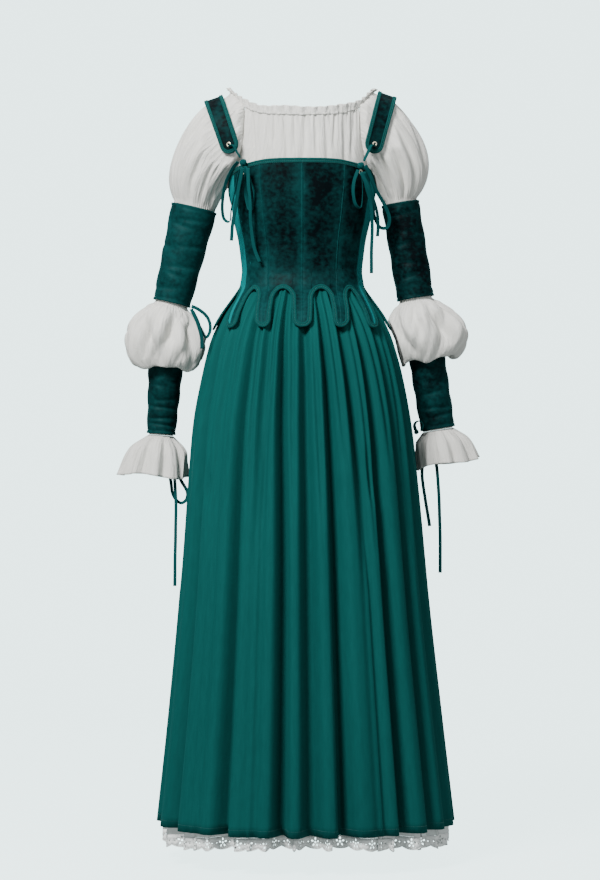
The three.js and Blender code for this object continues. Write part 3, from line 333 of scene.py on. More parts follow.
def sew(
    name, points, look, thickness, nodes, ring=False, inside=None, level=False,
    painted_sheen=None,
):
    """A sheet of cloth through rows x columns of points. Its UV map is the cloth laid flat, in metres.
    Its width is measured along its rows, or only on the level where these rise and fall. The last argument
    gives the painted sheen at each point, kept as a point attribute that lightens the velvet's colour."""
    rows, columns = points.shape[:2]
    cloth = bmesh.new()
    bmesh.ops.create_grid(cloth, x_segments=columns - 1, y_segments=rows - 1, size=0.5)
    data = bpy.data.meshes.new("cloth as cut")
    cloth.to_mesh(data)
    cloth.free()
    data.vertices.foreach_set("co", points.reshape(-1))
    step_across = np.linalg.norm(np.diff(points, axis=1), axis=2)
    step_along = np.linalg.norm(np.diff(points, axis=0), axis=2)
    across = np.concatenate([[0], np.cumsum(step_across.mean(axis=0))])
    along = np.concatenate([[0], np.cumsum(step_along.mean(axis=1))])
    flat = np.stack(np.broadcast_arrays(across[None, :], -along[:, None]), axis=-1).reshape(-1, 2)
    corner = np.empty(len(data.loops), dtype=np.int32)
    data.loops.foreach_get("vertex_index", corner)
    data.uv_layers.new(name="cloth").data.foreach_set("uv", flat[corner].reshape(-1))
    if painted_sheen is not None:
        painted_sheen_mask = np.ravel(painted_sheen + 0 * points[..., 0])
        data.attributes.new("painted_sheen", "FLOAT", "POINT").data.foreach_set("value", painted_sheen_mask)
    data.update()
    area = sum(polygon.area for polygon in data.polygons)
    facing = 0.0
    for polygon in data.polygons:
        middle = Vector(inside) if inside else Vector((0, 0, polygon.center.z))
        facing += polygon.normal.dot(polygon.center - middle) * polygon.area
    cloth = bmesh.new()
    cloth.from_mesh(data)
    bpy.data.meshes.remove(data)
    if ring:
        bmesh.ops.remove_doubles(cloth, verts=cloth.verts[:], dist=1e-6)
    if facing < 0:
        bmesh.ops.reverse_faces(cloth, faces=cloth.faces[:])
    piece = new_piece(name, cloth, look, nodes, thickness)
    measured = np.linalg.norm(np.diff(points[..., :2], axis=1), axis=2) if level else step_across
    width = float(measured.sum(axis=1).max())
    length = float(step_along.sum(axis=0).max())
    area = float(np.clip(area, LEAST_SHARE * width * length, width * length))


def noise_node(tree, vector, scale, detail=2.0, roughness=0.5):
    node = tree.nodes.new("ShaderNodeTexNoise")
    node.inputs["Scale"].default_value = scale
    node.inputs["Detail"].default_value = detail
    node.inputs["Roughness"].default_value = roughness
    tree.links.new(vector, node.inputs["Vector"])
    return node.outputs["Fac"]


def stretched(tree, vector, scale):
    node = tree.nodes.new("ShaderNodeMapping")
    node.inputs["Scale"].default_value = scale
    tree.links.new(vector, node.inputs["Vector"])
    return node.outputs["Vector"]


def object_place(tree):
    return tree.nodes.new("ShaderNodeTexCoord").outputs["Object"]


def tint(tree, shader, mix, shades, ends=(0.0, 1.0)):
    """Colours a shader between two shades, which a mix reaches at the two ends."""
    ramp = tree.nodes.new("ShaderNodeValToRGB")
    for element, shade, end in zip(ramp.color_ramp.elements, shades, ends):
        element.position = end
        element.color = (*shade, 1)
    tree.links.new(mix, ramp.inputs["Fac"])
    tree.links.new(ramp.outputs["Color"], shader.inputs["Base Color"])


def emboss(tree, shader, height, strength, distance):
    relief = tree.nodes.new("ShaderNodeBump")
    relief.inputs["Strength"].default_value = strength
    relief.inputs["Distance"].default_value = distance
    tree.links.new(height, relief.inputs["Height"])
    tree.links.new(relief.outputs["Normal"], shader.inputs["Normal"])


# Crinkle: a height made of long narrow ripples along the cloth and a finer grain across them, and a painted
# shade that follows the ripples.
crinkle = bpy.data.node_groups.new("cloth crinkle", "ShaderNodeTree")
crinkle.interface.new_socket("Cloth", in_out="INPUT", socket_type="NodeSocketVector")
for label in ("Ripple", "Grain"):
    crinkle.interface.new_socket(label, in_out="INPUT", socket_type="NodeSocketFloat").default_value = 1.0
for label in ("Height", "Painted ripple shade"):
    crinkle.interface.new_socket(label, in_out="OUTPUT", socket_type="NodeSocketFloat")
crinkle_in = crinkle.nodes.new("NodeGroupInput").outputs
crinkle_out = crinkle.nodes.new("NodeGroupOutput").inputs
ripple = noise_node(crinkle, stretched(crinkle, crinkle_in["Cloth"], (190, 26, 1)), 1.0, 3.0, 0.55)
grain = noise_node(crinkle, stretched(crinkle, crinkle_in["Cloth"], (900, 620, 1)), 1.0, 1.0)
rippled = math_node(crinkle, "MULTIPLY", ripple, crinkle_in["Ripple"])
grained = math_node(crinkle, "MULTIPLY", grain, crinkle_in["Grain"])
crinkle.links.new(math_node(crinkle, "ADD", rippled, grained), crinkle_out["Height"])
# Painted shade: the ripple height also sets the colour, darker in the troughs.
crinkle.links.new(ripple, crinkle_out["Painted ripple shade"])


def cloth_look(name, shades, ripple, grain, bump, roughness, sheen, sheen_tint):
    """A woven cloth. Its colour goes between two shades in broad patches of tone, and is darker in the
    crinkle's ripple troughs as painted shade.
    """
    look, tree, shader = new_look(name, {
        "Roughness": roughness, "Specular IOR Level": 0.03, "Sheen Weight": sheen, "Sheen Roughness": 0.45,
        "Sheen Tint": sheen_tint,
    })
    flat = tree.nodes.new("ShaderNodeUVMap")
    flat.uv_map = "cloth"
    group = tree.nodes.new("ShaderNodeGroup")
    group.node_tree = crinkle
    group.inputs["Ripple"].default_value = ripple
    group.inputs["Grain"].default_value = grain
    tree.links.new(flat.outputs["UV"], group.inputs["Cloth"])
    patch = noise_node(tree, stretched(tree, object_place(tree), (3.5, 3.5, 2.0)), 1.0)
    half_patch = math_node(tree, "MULTIPLY", patch, 0.5)
    # Half of the colour mix is painted shade from the ripples, half broad patches of tone.
    mix = math_node(tree, "MULTIPLY_ADD", group.outputs["Painted ripple shade"], 0.5, half_patch)
    tint(tree, shader, mix, shades, (0.35, 0.65))
    emboss(tree, shader, group.outputs["Height"], 0.8, bump)
    return look


skirt_crepe = cloth_look(
    "green crepe", [(0.0012, 0.055, 0.0505), (0.0018, 0.067, 0.0615)], 0.35, 0.6, 0.0008, 0.72, 0.05,
    (0.05, 0.9, 0.85, 1),
)
skirt_place, skirt_down = grid_of(
    np.linspace(0, len(VALLEYS), SKIRT_COLUMNS),
    SKIRT_TOP + (SKIRT_HEM - SKIRT_TOP) * np.linspace(0, 1, SKIRT_ROWS) ** 1.3,
)
sew(
    "crepe_skirt", skirt_points(skirt_place, skirt_down), skirt_crepe, CREPE, ring=True,
    nodes=["skirt"],
)

STITCH_SPACING = 0.0036
STITCH_LENGTH = 0.0024
THREAD_RADIUS = 0.00042


def run_stitches(name, line, outwards):
    """Topstitching: short rounded stitches laid end to end along a line of points on the cloth."""
    reach = run_along(line)
    steps = np.diff(reach)
    thread = bmesh.new()
    for at in np.arange(STITCH_SPACING / 2, reach[-1], STITCH_SPACING):
        i = min(np.searchsorted(reach, at, side="right") - 1, len(steps) - 1)
        f = (at - reach[i]) / max(steps[i], 1e-9)
        middle = Vector(line[i] + (line[i + 1] - line[i]) * f)
        along = Vector(line[i + 1] - line[i]).normalized()
        up = Vector(outwards[i])
        up = (up - along * up.dot(along)).normalized()
        across = along.cross(up)
        for vert in bmesh.ops.create_icosphere(thread, subdivisions=1, radius=1.0)["verts"]:
            x, y, z = vert.co
            flat = along * (x * STITCH_LENGTH / 2) + across * (y * THREAD_RADIUS)
            vert.co = middle + flat + up * (z * THREAD_RADIUS)
    new_piece(name, thread, green_thread)


def outwards_of(points):
    """Rough directions out of the body, from the upright through the middle of it."""
    away = np.array(points, float)
    away[:, 2] = 0
    return away / np.maximum(np.linalg.norm(away, axis=1), 1e-9)[:, None]


green_thread, thread_tree, thread_shader = new_look("green thread", {"Roughness": 0.6, "Sheen Weight": 0.2})
thread_spots = noise_node(thread_tree, object_place(thread_tree), 400.0)
tint(thread_tree, thread_shader, thread_spots, [(0.003, 0.060, 0.054), (0.004, 0.080, 0.072)])

HEM_TURN = 0.012
HEM_STEPS = 24 * 36 + 1
hem_line = skirt_points(np.linspace(0, len(VALLEYS), HEM_STEPS), np.full(HEM_STEPS, SKIRT_HEM - HEM_TURN))
run_stitches("skirt_hem_stitches", hem_line, outwards_of(hem_line))

# ---------------------------------------------------------------------------------------------------
# Chemise skirt. Plain cotton, gathered inside the crepe skirt and following its pipes. Only a narrow
# band shows below the crepe, above the lace.
COTTON = 0.0012
LACE_TOP = 1.344
LACE_SIDE_DIP = 0.015
CHEMISE_WAIST = 0.336
SIDE_DIP_FROM = 0.62
UNDER_COLUMNS = 24 * 12 + 1

# down, inset, share of the skirt's folds, shift
UNDER_SKIRT = [
    (0.336, 0.0085, 0, 0), (0.364, 0.006, 1, 0), (0.405, 0.007, 1, 0), (0.62, 0.015, 1, 0.001),
    (1.343, 0.011, 1, 0.007),
]


def under_points(place, down):
    level = np.minimum(down, SKIRT_HEM)
    size = blend(SKIRT, level)
    inset, share, shift = np.moveaxis(blend(UNDER_SKIRT, level), -1, 0)
    turn, inwards = fold_at(place, level)
    inwards = share * inwards + CREASE_GAIN * crease_depth(turn, down, SKIRT_CREASES)
    gathered = ring_point(size, turn, down, -inset - inwards, shift)
    hung = skirt_points(place, level)
    along = skirt_points(place + 0.03, level) - skirt_points(place - 0.03, level)
    away = np.stack([-along[..., 1], along[..., 0], 0 * along[..., 0]], axis=-1)
    hung = hung + away / np.linalg.norm(away, axis=-1, keepdims=True) * inset[..., None]
    points = gathered + (hung - gathered) * soft_step(level, 0.66, 0.86)[..., None]
    points[..., 2] = -down
    lowered = np.clip((down - SIDE_DIP_FROM) / (SKIRT_HEM - SIDE_DIP_FROM), 0, 1)
    points[..., 2] -= LACE_SIDE_DIP * sin_of(turn) ** 2 * lowered
    return points


white_cotton = cloth_look(
    "white crinkled cotton", [(0.58, 0.575, 0.535), (0.76, 0.755, 0.71)], 1.0, 0.35, 0.0045, 0.85, 0.1,
    (1, 1, 1, 1),
)
plain_cotton = cloth_look(
    "plain white cotton", [(0.74, 0.77, 0.75), (0.82, 0.85, 0.83)], 0.25, 0.5, 0.0005, 0.85, 0.1,
    (1, 1, 1, 1),
)
under_place, under_down = grid_of(
    np.linspace(0, len(VALLEYS), UNDER_COLUMNS),
    np.concatenate([np.linspace(CHEMISE_WAIST + 0.0005, 0.40, 5), np.linspace(0.45, LACE_TOP - 0.0003, 18)]),
)
sew(
    "chemise_underskirt", under_points(under_place, under_down), plain_cotton, COTTON, ring=True,
    nodes=["chemise_skirt"],
)

# ---------------------------------------------------------------------------------------------------
# Lace hem. A band of broderie anglaise sewn under the chemise skirt: round scallops with a corded
# edge, and in each a flower of five petal holes round a centre hole, all bound with thread.
SCALLOPS = 68
LACE_DROP = 0.023
SCALLOP_DEPTH = 0.005
LACE_CLOTH = 0.0007
LACE_STEPS = 24 * 60 + 1
FLOWER_RISE = 0.012
FLOWER_REACH = 0.0062
CENTRE_HOLE = 0.0024
PETAL_HOLE = (0.0019, 0.0027)
SPRIG_HOLE = 0.0015
BINDING_THREAD = 0.00042
THREAD_LIFT = 0.0002
EDGE_CORD = 0.00075

lace_line = under_points(np.linspace(0, len(VALLEYS), LACE_STEPS), np.full(LACE_STEPS, LACE_TOP))
lace_reach = run_along(lace_line)
SCALLOP_WIDTH = lace_reach[-1] / SCALLOPS

# The scalloped edge is an arc. Its radius, and half the angle it spans.
SCALLOP_RADIUS = ((SCALLOP_WIDTH / 2) ** 2 + SCALLOP_DEPTH**2) / (2 * SCALLOP_DEPTH)
SCALLOP_SWING = math.asin(SCALLOP_WIDTH / 2 / SCALLOP_RADIUS)


def on_lace(s, below, height):
    """A point of the lace band, from how far round it lies, how far down and how far off the cloth."""
    point = spot_on(s % lace_reach[-1], lace_reach, lace_line)
    along = spot_on((s + 0.002) % lace_reach[-1], lace_reach, lace_line) - point
    out = np.array([along[1], -along[0], 0.0])
    out /= np.linalg.norm(out)
    return point + out * height - np.array([0, 0, below])


def spin_round(shape, verts, angle, steps, centre=(0, 0, 0), closed=True):
    """Spins a loop of vertices about an upright axis."""
    edges = list({edge for vert in verts for edge in vert.link_edges})
    bmesh.ops.spin(
        shape, geom=verts + edges, cent=centre, axis=(0, 0, 1), dvec=(0, 0, 0), angle=angle, steps=steps,
        use_merge=closed, use_duplicate=False,
    )


def hole_ring(template, middle, radii, tilt, segments, raised):
    """One hole: its rim edges for the cloth, or a raised ring of thread round it."""
    tilted = Vector((math.cos(tilt), math.sin(tilt), 0))
    crosswise = Vector((-math.sin(tilt), math.cos(tilt), 0))
    if raised:
        ring = bmesh.ops.create_circle(template, segments=3, radius=BINDING_THREAD)["verts"]
        for vert in ring:
            x, y, z = vert.co
            vert.co = (1 + x, 0, y)
        spin_round(template, ring, math.radians(360), segments)
        made = [vert for vert in template.verts if not vert.tag]
    else:
        made = bmesh.ops.create_circle(template, segments=segments, radius=1.0)["verts"]
    for vert in made:
        x, y, z = vert.co
        far = math.hypot(x, y)
        spot = tilted * (x / far * (radii[0] + far - 1)) + crosswise * (y / far * (radii[1] + far - 1))
        vert.co = (middle[0] + spot.x, middle[1] + spot.y, z + THREAD_LIFT if raised else 0)
        vert.tag = True


flower = (SCALLOP_WIDTH / 2, -(LACE_DROP - FLOWER_RISE))
lace_holes = [(flower, (CENTRE_HOLE, CENTRE_HOLE), 0.0)]
for i in range(5):
    angle = math.radians(90 + 72 * i)
    petal = (flower[0] + FLOWER_REACH * math.cos(angle), flower[1] + FLOWER_REACH * math.sin(angle))
    lace_holes.append((petal, PETAL_HOLE, angle + math.pi / 2))
for across in (0.14, 0.86):
    lace_holes.append(((SCALLOP_WIDTH * across, -LACE_DROP + 0.0125), (SPRIG_HOLE, SPRIG_HOLE), 0.0))


def lace_piece(name, build, look, merge, nodes=(), thickness=0.0):
    """Copies a flat template of one scallop round the band, and bends each copy onto it."""
    template = bmesh.new()
    build(template)
    flat = bpy.data.meshes.new("one scallop")
    template.to_mesh(flat)
    template.free()
    band = bmesh.new()
    cloth = band.loops.layers.uv.new("cloth")
    for cell in range(SCALLOPS):
        already = len(band.verts)
        band.from_mesh(flat)
        band.verts.ensure_lookup_table()
        for vert in band.verts[already:]:
            x, y, z = vert.co
            s = cell * SCALLOP_WIDTH + x
            vert.co = on_lace(s, -y, z)
            for loop in vert.link_loops:
                loop[cloth].uv = (s, y)
    if merge:
        bmesh.ops.remove_doubles(band, verts=band.verts[:], dist=2e-5)
    bpy.data.meshes.remove(flat)
    return new_piece(name, band, look, nodes, thickness)


def scallop_foot(across):
    """Drop of the scalloped edge at a share of one scallop's width."""
    away = (across - 0.5) * SCALLOP_WIDTH
    return LACE_DROP - SCALLOP_RADIUS + math.sqrt(SCALLOP_RADIUS**2 - away**2)


def flat_scallop(template):
    """The cloth of one scallop with its holes."""
    top = [(SCALLOP_WIDTH * i / 6, 0) for i in range(7)]
    foot = [(SCALLOP_WIDTH * i / 12, -scallop_foot(i / 12)) for i in range(13)]
    side = [-(LACE_DROP - SCALLOP_DEPTH) * i / 4 for i in range(1, 4)]
    outline = top + [(SCALLOP_WIDTH, y) for y in side] + foot[::-1] + [(0, y) for y in side[::-1]]
    corners = [template.verts.new((x, y, 0)) for x, y in outline]
    for pair in zip(corners, corners[1:] + corners[:1]):
        template.edges.new(pair)
    for middle, radii, tilt in lace_holes:
        hole_ring(template, middle, radii, tilt, 12, raised=False)
    bmesh.ops.triangle_fill(template, use_beauty=True, use_dissolve=False, edges=template.edges[:])
    for face in template.faces:
        if face.normal.z < 0:
            face.normal_flip()


def scallop_threads(template):
    """The threads round one scallop's holes, and the cord along its edge."""
    for middle, radii, tilt in lace_holes:
        hole_ring(template, middle, radii, tilt, 10, raised=True)
    cord = bmesh.ops.create_circle(template, segments=5, radius=EDGE_CORD)["verts"]
    centre = Vector((SCALLOP_WIDTH / 2, SCALLOP_RADIUS - LACE_DROP, 0))
    for vert in cord:
        x, y, z = vert.co
        far = SCALLOP_RADIUS + x
        vert.co = centre + Vector((-far * math.sin(SCALLOP_SWING), -far * math.cos(SCALLOP_SWING), y))
    spin_round(template, cord, 2 * SCALLOP_SWING, 10, centre, closed=False)
    bmesh.ops.recalc_face_normals(template, faces=template.faces[:])


lace_cotton = cloth_look(
    "lace cotton", [(0.80, 0.83, 0.81), (0.88, 0.90, 0.88)], 0.2, 0.5, 0.0004, 0.85, 0.1, (1, 1, 1, 1),
)
lace_thread = cloth_look(
    "lace thread", [(0.82, 0.85, 0.83), (0.90, 0.92, 0.90)], 0.2, 0.9, 0.0005, 0.7, 0.2, (1, 1, 1, 1),
)
lace_threads = lace_piece("lace_embroidery", scallop_threads, lace_thread, merge=False)
lace = lace_piece(
    "lace_hem_cloth", flat_scallop, lace_cotton, merge=True, nodes=["lace_hem_back", "lace_hem_front"],
    thickness=LACE_CLOTH,
)

# ---------------------------------------------------------------------------------------------------
# Chemise body. Crinkled white cotton, gathered into the neck seam at the back and the front, with
# raglan seams from the neck to the armpits. The bodice covers all but the yoke.
NECK_CORNER = 50
RAGLAN_END = 0.165
UNDER_BODICE = 0.005
CHEMISE_BUST = 0.205
CHEMISE_WAIST_INSET = 0.0085
YOKE_CREASE_GAIN = 1.6

# down, side, back, front
TORSO = [
    (-0.01, 0.132, 0.076, 0.07), (0.03, 0.138, 0.092, 0.08), (0.075, 0.14, 0.1, 0.09),
    (0.12, 0.138, 0.104, 0.096), (0.177, 0.136, 0.103, 0.118), (0.205, 0.131, 0.1, 0.126),
    (0.235, 0.126, 0.095, 0.124), (0.27, 0.118, 0.087, 0.108), (0.307, 0.113, 0.081, 0.092),
    (0.328, 0.111, 0.079, 0.086), (0.345, 0.113, 0.081, 0.086),
]

# turn, down
NECKLINE = [
    (0, 0.046), (30, 0.041), (50, 0.027), (70, 0.005), (90, -0.005), (110, 0.004), (130, 0.033),
    (155, 0.066), (180, 0.076),
]

# Soft creases below the gathered neck: turn from the centre, drift, start, end, depth, half width.
YOKE_CREASES = [
    (-41, 2, 0.02, 0.95, 0.003, 2.6), (-33, -2, 0, 0.7, 0.0022, 1.8), (-26, 3, 0.02, 1, 0.0028, 2.2),
    (-19, -1, 0, 0.55, 0.002, 1.5), (-12, 2, 0.02, 0.85, 0.0026, 1.9), (-5, 1, 0, 0.6, 0.002, 1.4),
    (2, -2, 0.02, 0.95, 0.0028, 1.9), (9, 1, 0, 0.65, 0.0022, 1.6), (17, 2, 0.02, 0.9, 0.0027, 2),
    (25, -2, 0, 0.6, 0.0021, 1.7), (33, 2, 0.02, 0.95, 0.0029, 2.3), (42, -1, 0, 0.75, 0.0024, 2.1),
]


def half_turn(turn):
    return np.abs((np.asarray(turn, float) + 180) % 360 - 180)


def neckline_down(turn):
    return blend(NECKLINE, half_turn(turn))[..., 0]


def on_chemise(turn, down, out=0.0):
    return ring_point(blend(TORSO, down), turn, down, out - UNDER_BODICE)


def raglan_turn(share):
    return NECK_CORNER + (90 - NECK_CORNER) * share**4


def neck_gathers(turn, below):
    """Height of the fine gathers under the neck seam, which fade a hand's width below it."""
    fade = np.exp(-np.maximum(below, 0) / 0.028)
    uneven = 0.7 + 0.3 * np.sin(0.31 * turn + 1.0)
    return 0.0016 * fade * uneven * cos_of(turn * 96 + 60 * sin_of(7 * turn))


def chemise_yoke(centre, level, u):
    """A point of the back or front: level 0 to 1 is the yoke, to 2 the bust and to 3 the waist."""
    share = np.clip(level, 0, 1)
    top = neckline_down(centre + NECK_CORNER * u)
    down = top + (RAGLAN_END - top) * share
    turn = raglan_turn(share) * u
    lift = neck_gathers(turn, down - top) - YOKE_CREASE_GAIN * crease_depth(turn, share, YOKE_CREASES)
    seam = hump(1 - np.abs(u), 0.02)
    yoke = on_chemise(centre + turn, down, lift - 0.0005 * seam)
    bust = on_chemise(centre + 90 * u, CHEMISE_BUST + 0 * u)
    size = np.array(SKIRT[0][1:4]) + 0 * u[..., None]
    waist = ring_point(size, centre + 90 * u, CHEMISE_WAIST + 0 * u, -CHEMISE_WAIST_INSET)
    to_bust = np.clip(level - 1, 0, 1)[..., None]
    to_waist = np.clip(level - 2, 0, 1)[..., None]
    return yoke + (bust - yoke) * to_bust + (waist - bust) * to_waist


yoke_u, yoke_level = grid_of(
    np.linspace(-1, 1, 181), np.concatenate([np.linspace(0, 1, 46), np.linspace(1.2, 3, 10)])
)
for name, centre in (("chemise_back", 0), ("chemise_front", 180)):
    sew(
        name + "_cloth", chemise_yoke(centre, yoke_level, yoke_u), white_cotton, COTTON, inside=(0, 0, -0.3),
        nodes=[name],
    )

# ---------------------------------------------------------------------------------------------------
# Neck frill. A narrow strip of the same cotton stands up from the neck seam, gathered into small
# uneven waves, with a rolled edge.
FRILL_HEIGHT = 0.017
FRILL_FOOT = -0.004
FRILL_CLOTH = 0.0009


def neck_frill(turn, rise):
    foot = on_chemise(turn, neckline_down(turn))
    flat = foot.copy()
    flat[..., 2] = 0
    outwards = flat / np.linalg.norm(flat, axis=-1, keepdims=True)
    waves = cos_of(44 * turn + 50 * sin_of(5 * turn))
    small = cos_of(83 * turn + 80 * sin_of(3 * turn))
    shoulder = hump(turn - 90, 28) + hump(turn - 270, 28)
    swing = (0.0026 + 0.0012 * shoulder) * waves + 0.0010 * small
    swing = swing * np.abs(rise - 0.25) ** 0.8 + 0.0006 * cos_of(96 * turn) * (1 - rise)
    lean = 0.0022 + (0.0012 + 0.0060 * shoulder) * rise**2
    fallen = 0.0012 * (1 + sin_of(9 * turn)) + 0.0072 * shoulder
    height = FRILL_FOOT + rise * (FRILL_HEIGHT - fallen) - 0.0008 * waves * rise
    points = foot + outwards * (swing + lean)[..., None]
    points[..., 2] += height
    return points


frill_turn, frill_rise = grid_of(np.linspace(0, 360, 721), np.linspace(0, 1, 8))
sew(
    "neck_frill_cloth", neck_frill(frill_turn, frill_rise), white_cotton, FRILL_CLOTH, ring=True,
    nodes=["neck_frill"],
)

# ---------------------------------------------------------------------------------------------------
# Bodice panels. Ten panels of silk-like velvet and two plain crepe panels at the sides of the back,
# joined by pressed seams. Below the waist each seam carries a tab that lies on the gathered skirt.
VELVET = 0.002
TAB_END = 0.436
TAB_HALF = 0.0150
TAB_ROUND = 0.016
TAB_TOP = 0.384
ARCH_TOP = 0.364
TAB_OVER_SKIRT = 0.004
SEAM_INSET = 0.03

# turn, down
TOP_EDGE = [
    (0, 0.129), (25, 0.13), (45, 0.136), (60, 0.142), (70, 0.151), (80, 0.17), (90, 0.189),
    (100, 0.196), (112, 0.19), (125, 0.165), (137, 0.15), (155, 0.15), (180, 0.154),
]

# waist, tabEnd
SEAMS = [
    (0, 0), (32, 23), (64, 51), (93, 89), (122, 127), (151, 155), (180, 180), (209, 205), (238, 233),
    (267, 271), (296, 309), (328, 337),
]
PANELS = [
    "bodice_back_right",
    "bodice_back_middle_right",
    "bodice_crepe_side_back_right",
    "bodice_side_front_right",
    "bodice_front_middle_right",
    "bodice_front_right",
    "bodice_front_left",
    "bodice_front_middle_left",
    "bodice_side_front_left",
    "bodice_crepe_side_back_left",
    "bodice_back_middle_left",
    "bodice_back_left",
]

# Panels given extra painted sheen, as if their nap lay towards the key lamp, and by how much.
PAINTED_SHEEN_PANELS = {"bodice_back_left": 0.10, "bodice_back_middle_left": 0.20}

# Shallow wrinkles across the bodice: down, drift in down, start turn, end turn, depth, half width.
BODICE_WRINKLES = [
    (0.322, 0.006, 24, 62, 0.0022, 0.0035), (0.306, -0.004, 38, 70, 0.0016, 0.003),
    (0.335, 0.004, 2, 30, 0.0016, 0.003), (0.262, 0.007, 30, 66, 0.0012, 0.0045),
    (0.296, 0.003, 4, 26, 0.001, 0.004), (0.318, -0.006, 296, 334, 0.0024, 0.0032),
    (0.336, 0.003, 332, 358, 0.0015, 0.003), (0.3, 0.004, 290, 322, 0.0014, 0.0034),
    (0.246, -0.006, 296, 330, 0.0012, 0.005), (0.284, 0.002, 336, 356, 0.001, 0.004),
    (0.33, 0.004, 98, 140, 0.0018, 0.0034), (0.312, -0.004, 118, 160, 0.0014, 0.0032),
    (0.326, 0.005, 200, 244, 0.0018, 0.0034), (0.306, -0.003, 222, 262, 0.0014, 0.0032),
    (0.338, 0.002, 160, 200, 0.0012, 0.003),
]


def top_edge_down(turn):
    return blend(TOP_EDGE, half_turn(turn))[..., 0]


def body_size(down):
    """Half sizes of the bodice's outer face and, below the waist, of its tabs."""
    tabs = blend(SKIRT, down)[..., :3] + TAB_OVER_SKIRT
    return np.where((down <= WAIST)[..., None], blend(TORSO, down), tabs)


def on_bodice(turn, down, out=0.0):
    """A point of the bodice's outer face; below the waist it lies a little outside the skirt."""
    turn, down, out = np.broadcast_arrays(turn, down, out)
    return ring_point(body_size(down), turn, down, out)


def seam_turn(seam, down):
    waist, tab_end = SEAMS[seam % len(SEAMS)]
    swung = np.clip((down - WAIST) / (TAB_END - WAIST), 0, 1)
    return waist + (tab_end - waist) * swung + 360 * (seam // len(SEAMS))


def seam_distance(seam, down):
    away = on_bodice(seam_turn(seam + 1, down), down) - on_bodice(seam_turn(seam, down), down)
    return np.linalg.norm(away, axis=-1)


def scallop_outline(seam, steps):
    """The lower edge between two seams, as shares of the way across and distances down."""
    swing = np.linspace(0, np.pi / 2, steps)
    tab = np.concatenate([np.sin(swing), [1.0, 0.99], 0.98 * np.cos(swing)])
    arch = np.concatenate([0 * swing, [0.01, 0.03], 0.04 + 0.96 * (1 - np.cos(swing))])
    down = np.concatenate([
        TAB_END - TAB_ROUND * (1 - np.cos(swing)), [0.408, 0.396],
        TAB_TOP - (TAB_TOP - ARCH_TOP) * np.sin(swing),
    ])
    share = tab * TAB_HALF / seam_distance(seam, down) + arch / 2
    return np.concatenate([share, 1 - share[-2::-1]]), np.concatenate([down, down[-2::-1]])


def panel_point(seam, share, down, out=0.0):
    start = seam_turn(seam, down) + SEAM_INSET
    end = seam_turn(seam + 1, down) - SEAM_INSET
    return on_bodice(start + (end - start) * share, down, out)


def panel_cloth(seam, crepe):
    share, foot = scallop_outline(seam, 16)
    start, end = seam_turn(seam, 0.0), seam_turn(seam + 1, 0.0)
    top = top_edge_down(start + (end - start) * share)
    fall = np.linspace(0, 1, 56)[:, None]
    down = top + (foot - top) * fall
    start, end = seam_turn(seam, down), seam_turn(seam + 1, down)
    turn = start + (end - start) * share
    to_seam = np.minimum(share, 1 - share) * seam_distance(seam, down)
    groove = 0.0006 * hump(to_seam, 0.0022)
    pucker = 0.00035 * np.cos(2 * np.pi * down / 0.011 + seam) * hump(to_seam, 0.009)
    fade = 1 - soft_step(down, WAIST, 0.40)
    wrinkle = crease_depth(down, turn % 360, BODICE_WRINKLES, wrap=10.0) * fade
    ripple = 0.0005 * np.sin(41 * down + 0.12 * turn + seam) * np.cos(0.21 * turn - 23 * down)
    out = ripple - groove + pucker - wrinkle * (0.7 if crepe else 1.0)
    out = out * np.minimum(1, (down - top) / 0.02 + 0.15)
    # Painted sheen: the colour is lightened along the seams and the top edge, on the wrinkles, towards the
    # waist and on some whole panels.
    painted_sheen = 0.70 * np.exp(-to_seam / 0.005) + 0.35 * np.exp(-(down - top) / 0.010) + 90 * wrinkle
    painted_sheen = painted_sheen + 0.25 * soft_step(down, 0.29, 0.36) + 0.12 * soft_step(down, 0.20, 0.30)
    painted_sheen = painted_sheen + PAINTED_SHEEN_PANELS.get(PANELS[seam], 0)
    return panel_point(seam, share, down, out), np.clip(painted_sheen, 0, 1)


# Crushed velvet. The pile lies in patches that throw back more or less light. Painted sheen, carried by a
# point attribute, lightens it along seams, edges and creases and on the side nearer the key lamp.
green_velvet, velvet_tree, velvet_shader = new_look("deep green velvet", {
    "Roughness": 0.55, "Specular IOR Level": 0.04, "Sheen Weight": 0.22, "Sheen Roughness": 0.28,
    "Sheen Tint": (0.04, 0.80, 0.84, 1),
})
velvet_place = object_place(velvet_tree)
broad = noise_node(velvet_tree, stretched(velvet_tree, velvet_place, (24, 24, 20)), 1.0, 3.0, 0.6)
fine = noise_node(velvet_tree, stretched(velvet_tree, velvet_place, (120, 120, 150)), 1.0)
pile = noise_node(velvet_tree, velvet_place, 1500.0, 1.0)
painted_sheen_mask = velvet_tree.nodes.new("ShaderNodeAttribute")
painted_sheen_mask.attribute_name = "painted_sheen"
nap = math_node(velvet_tree, "MULTIPLY_ADD", broad, 0.40, 0.15)
nap = math_node(velvet_tree, "MULTIPLY_ADD", fine, 0.30, nap)
# Painted sheen: the point attribute lightens the velvet's colour.
nap_and_painted_sheen = math_node(velvet_tree, "MULTIPLY_ADD", painted_sheen_mask.outputs["Fac"], 0.22, nap)
tint(velvet_tree, velvet_shader, nap_and_painted_sheen, [(0.0005, 0.0024, 0.0032), (0.0016, 0.038, 0.038)], (0.465, 0.74))
emboss(velvet_tree, velvet_shader, math_node(velvet_tree, "MULTIPLY_ADD", pile, 0.12, nap), 0.7, 0.0012)

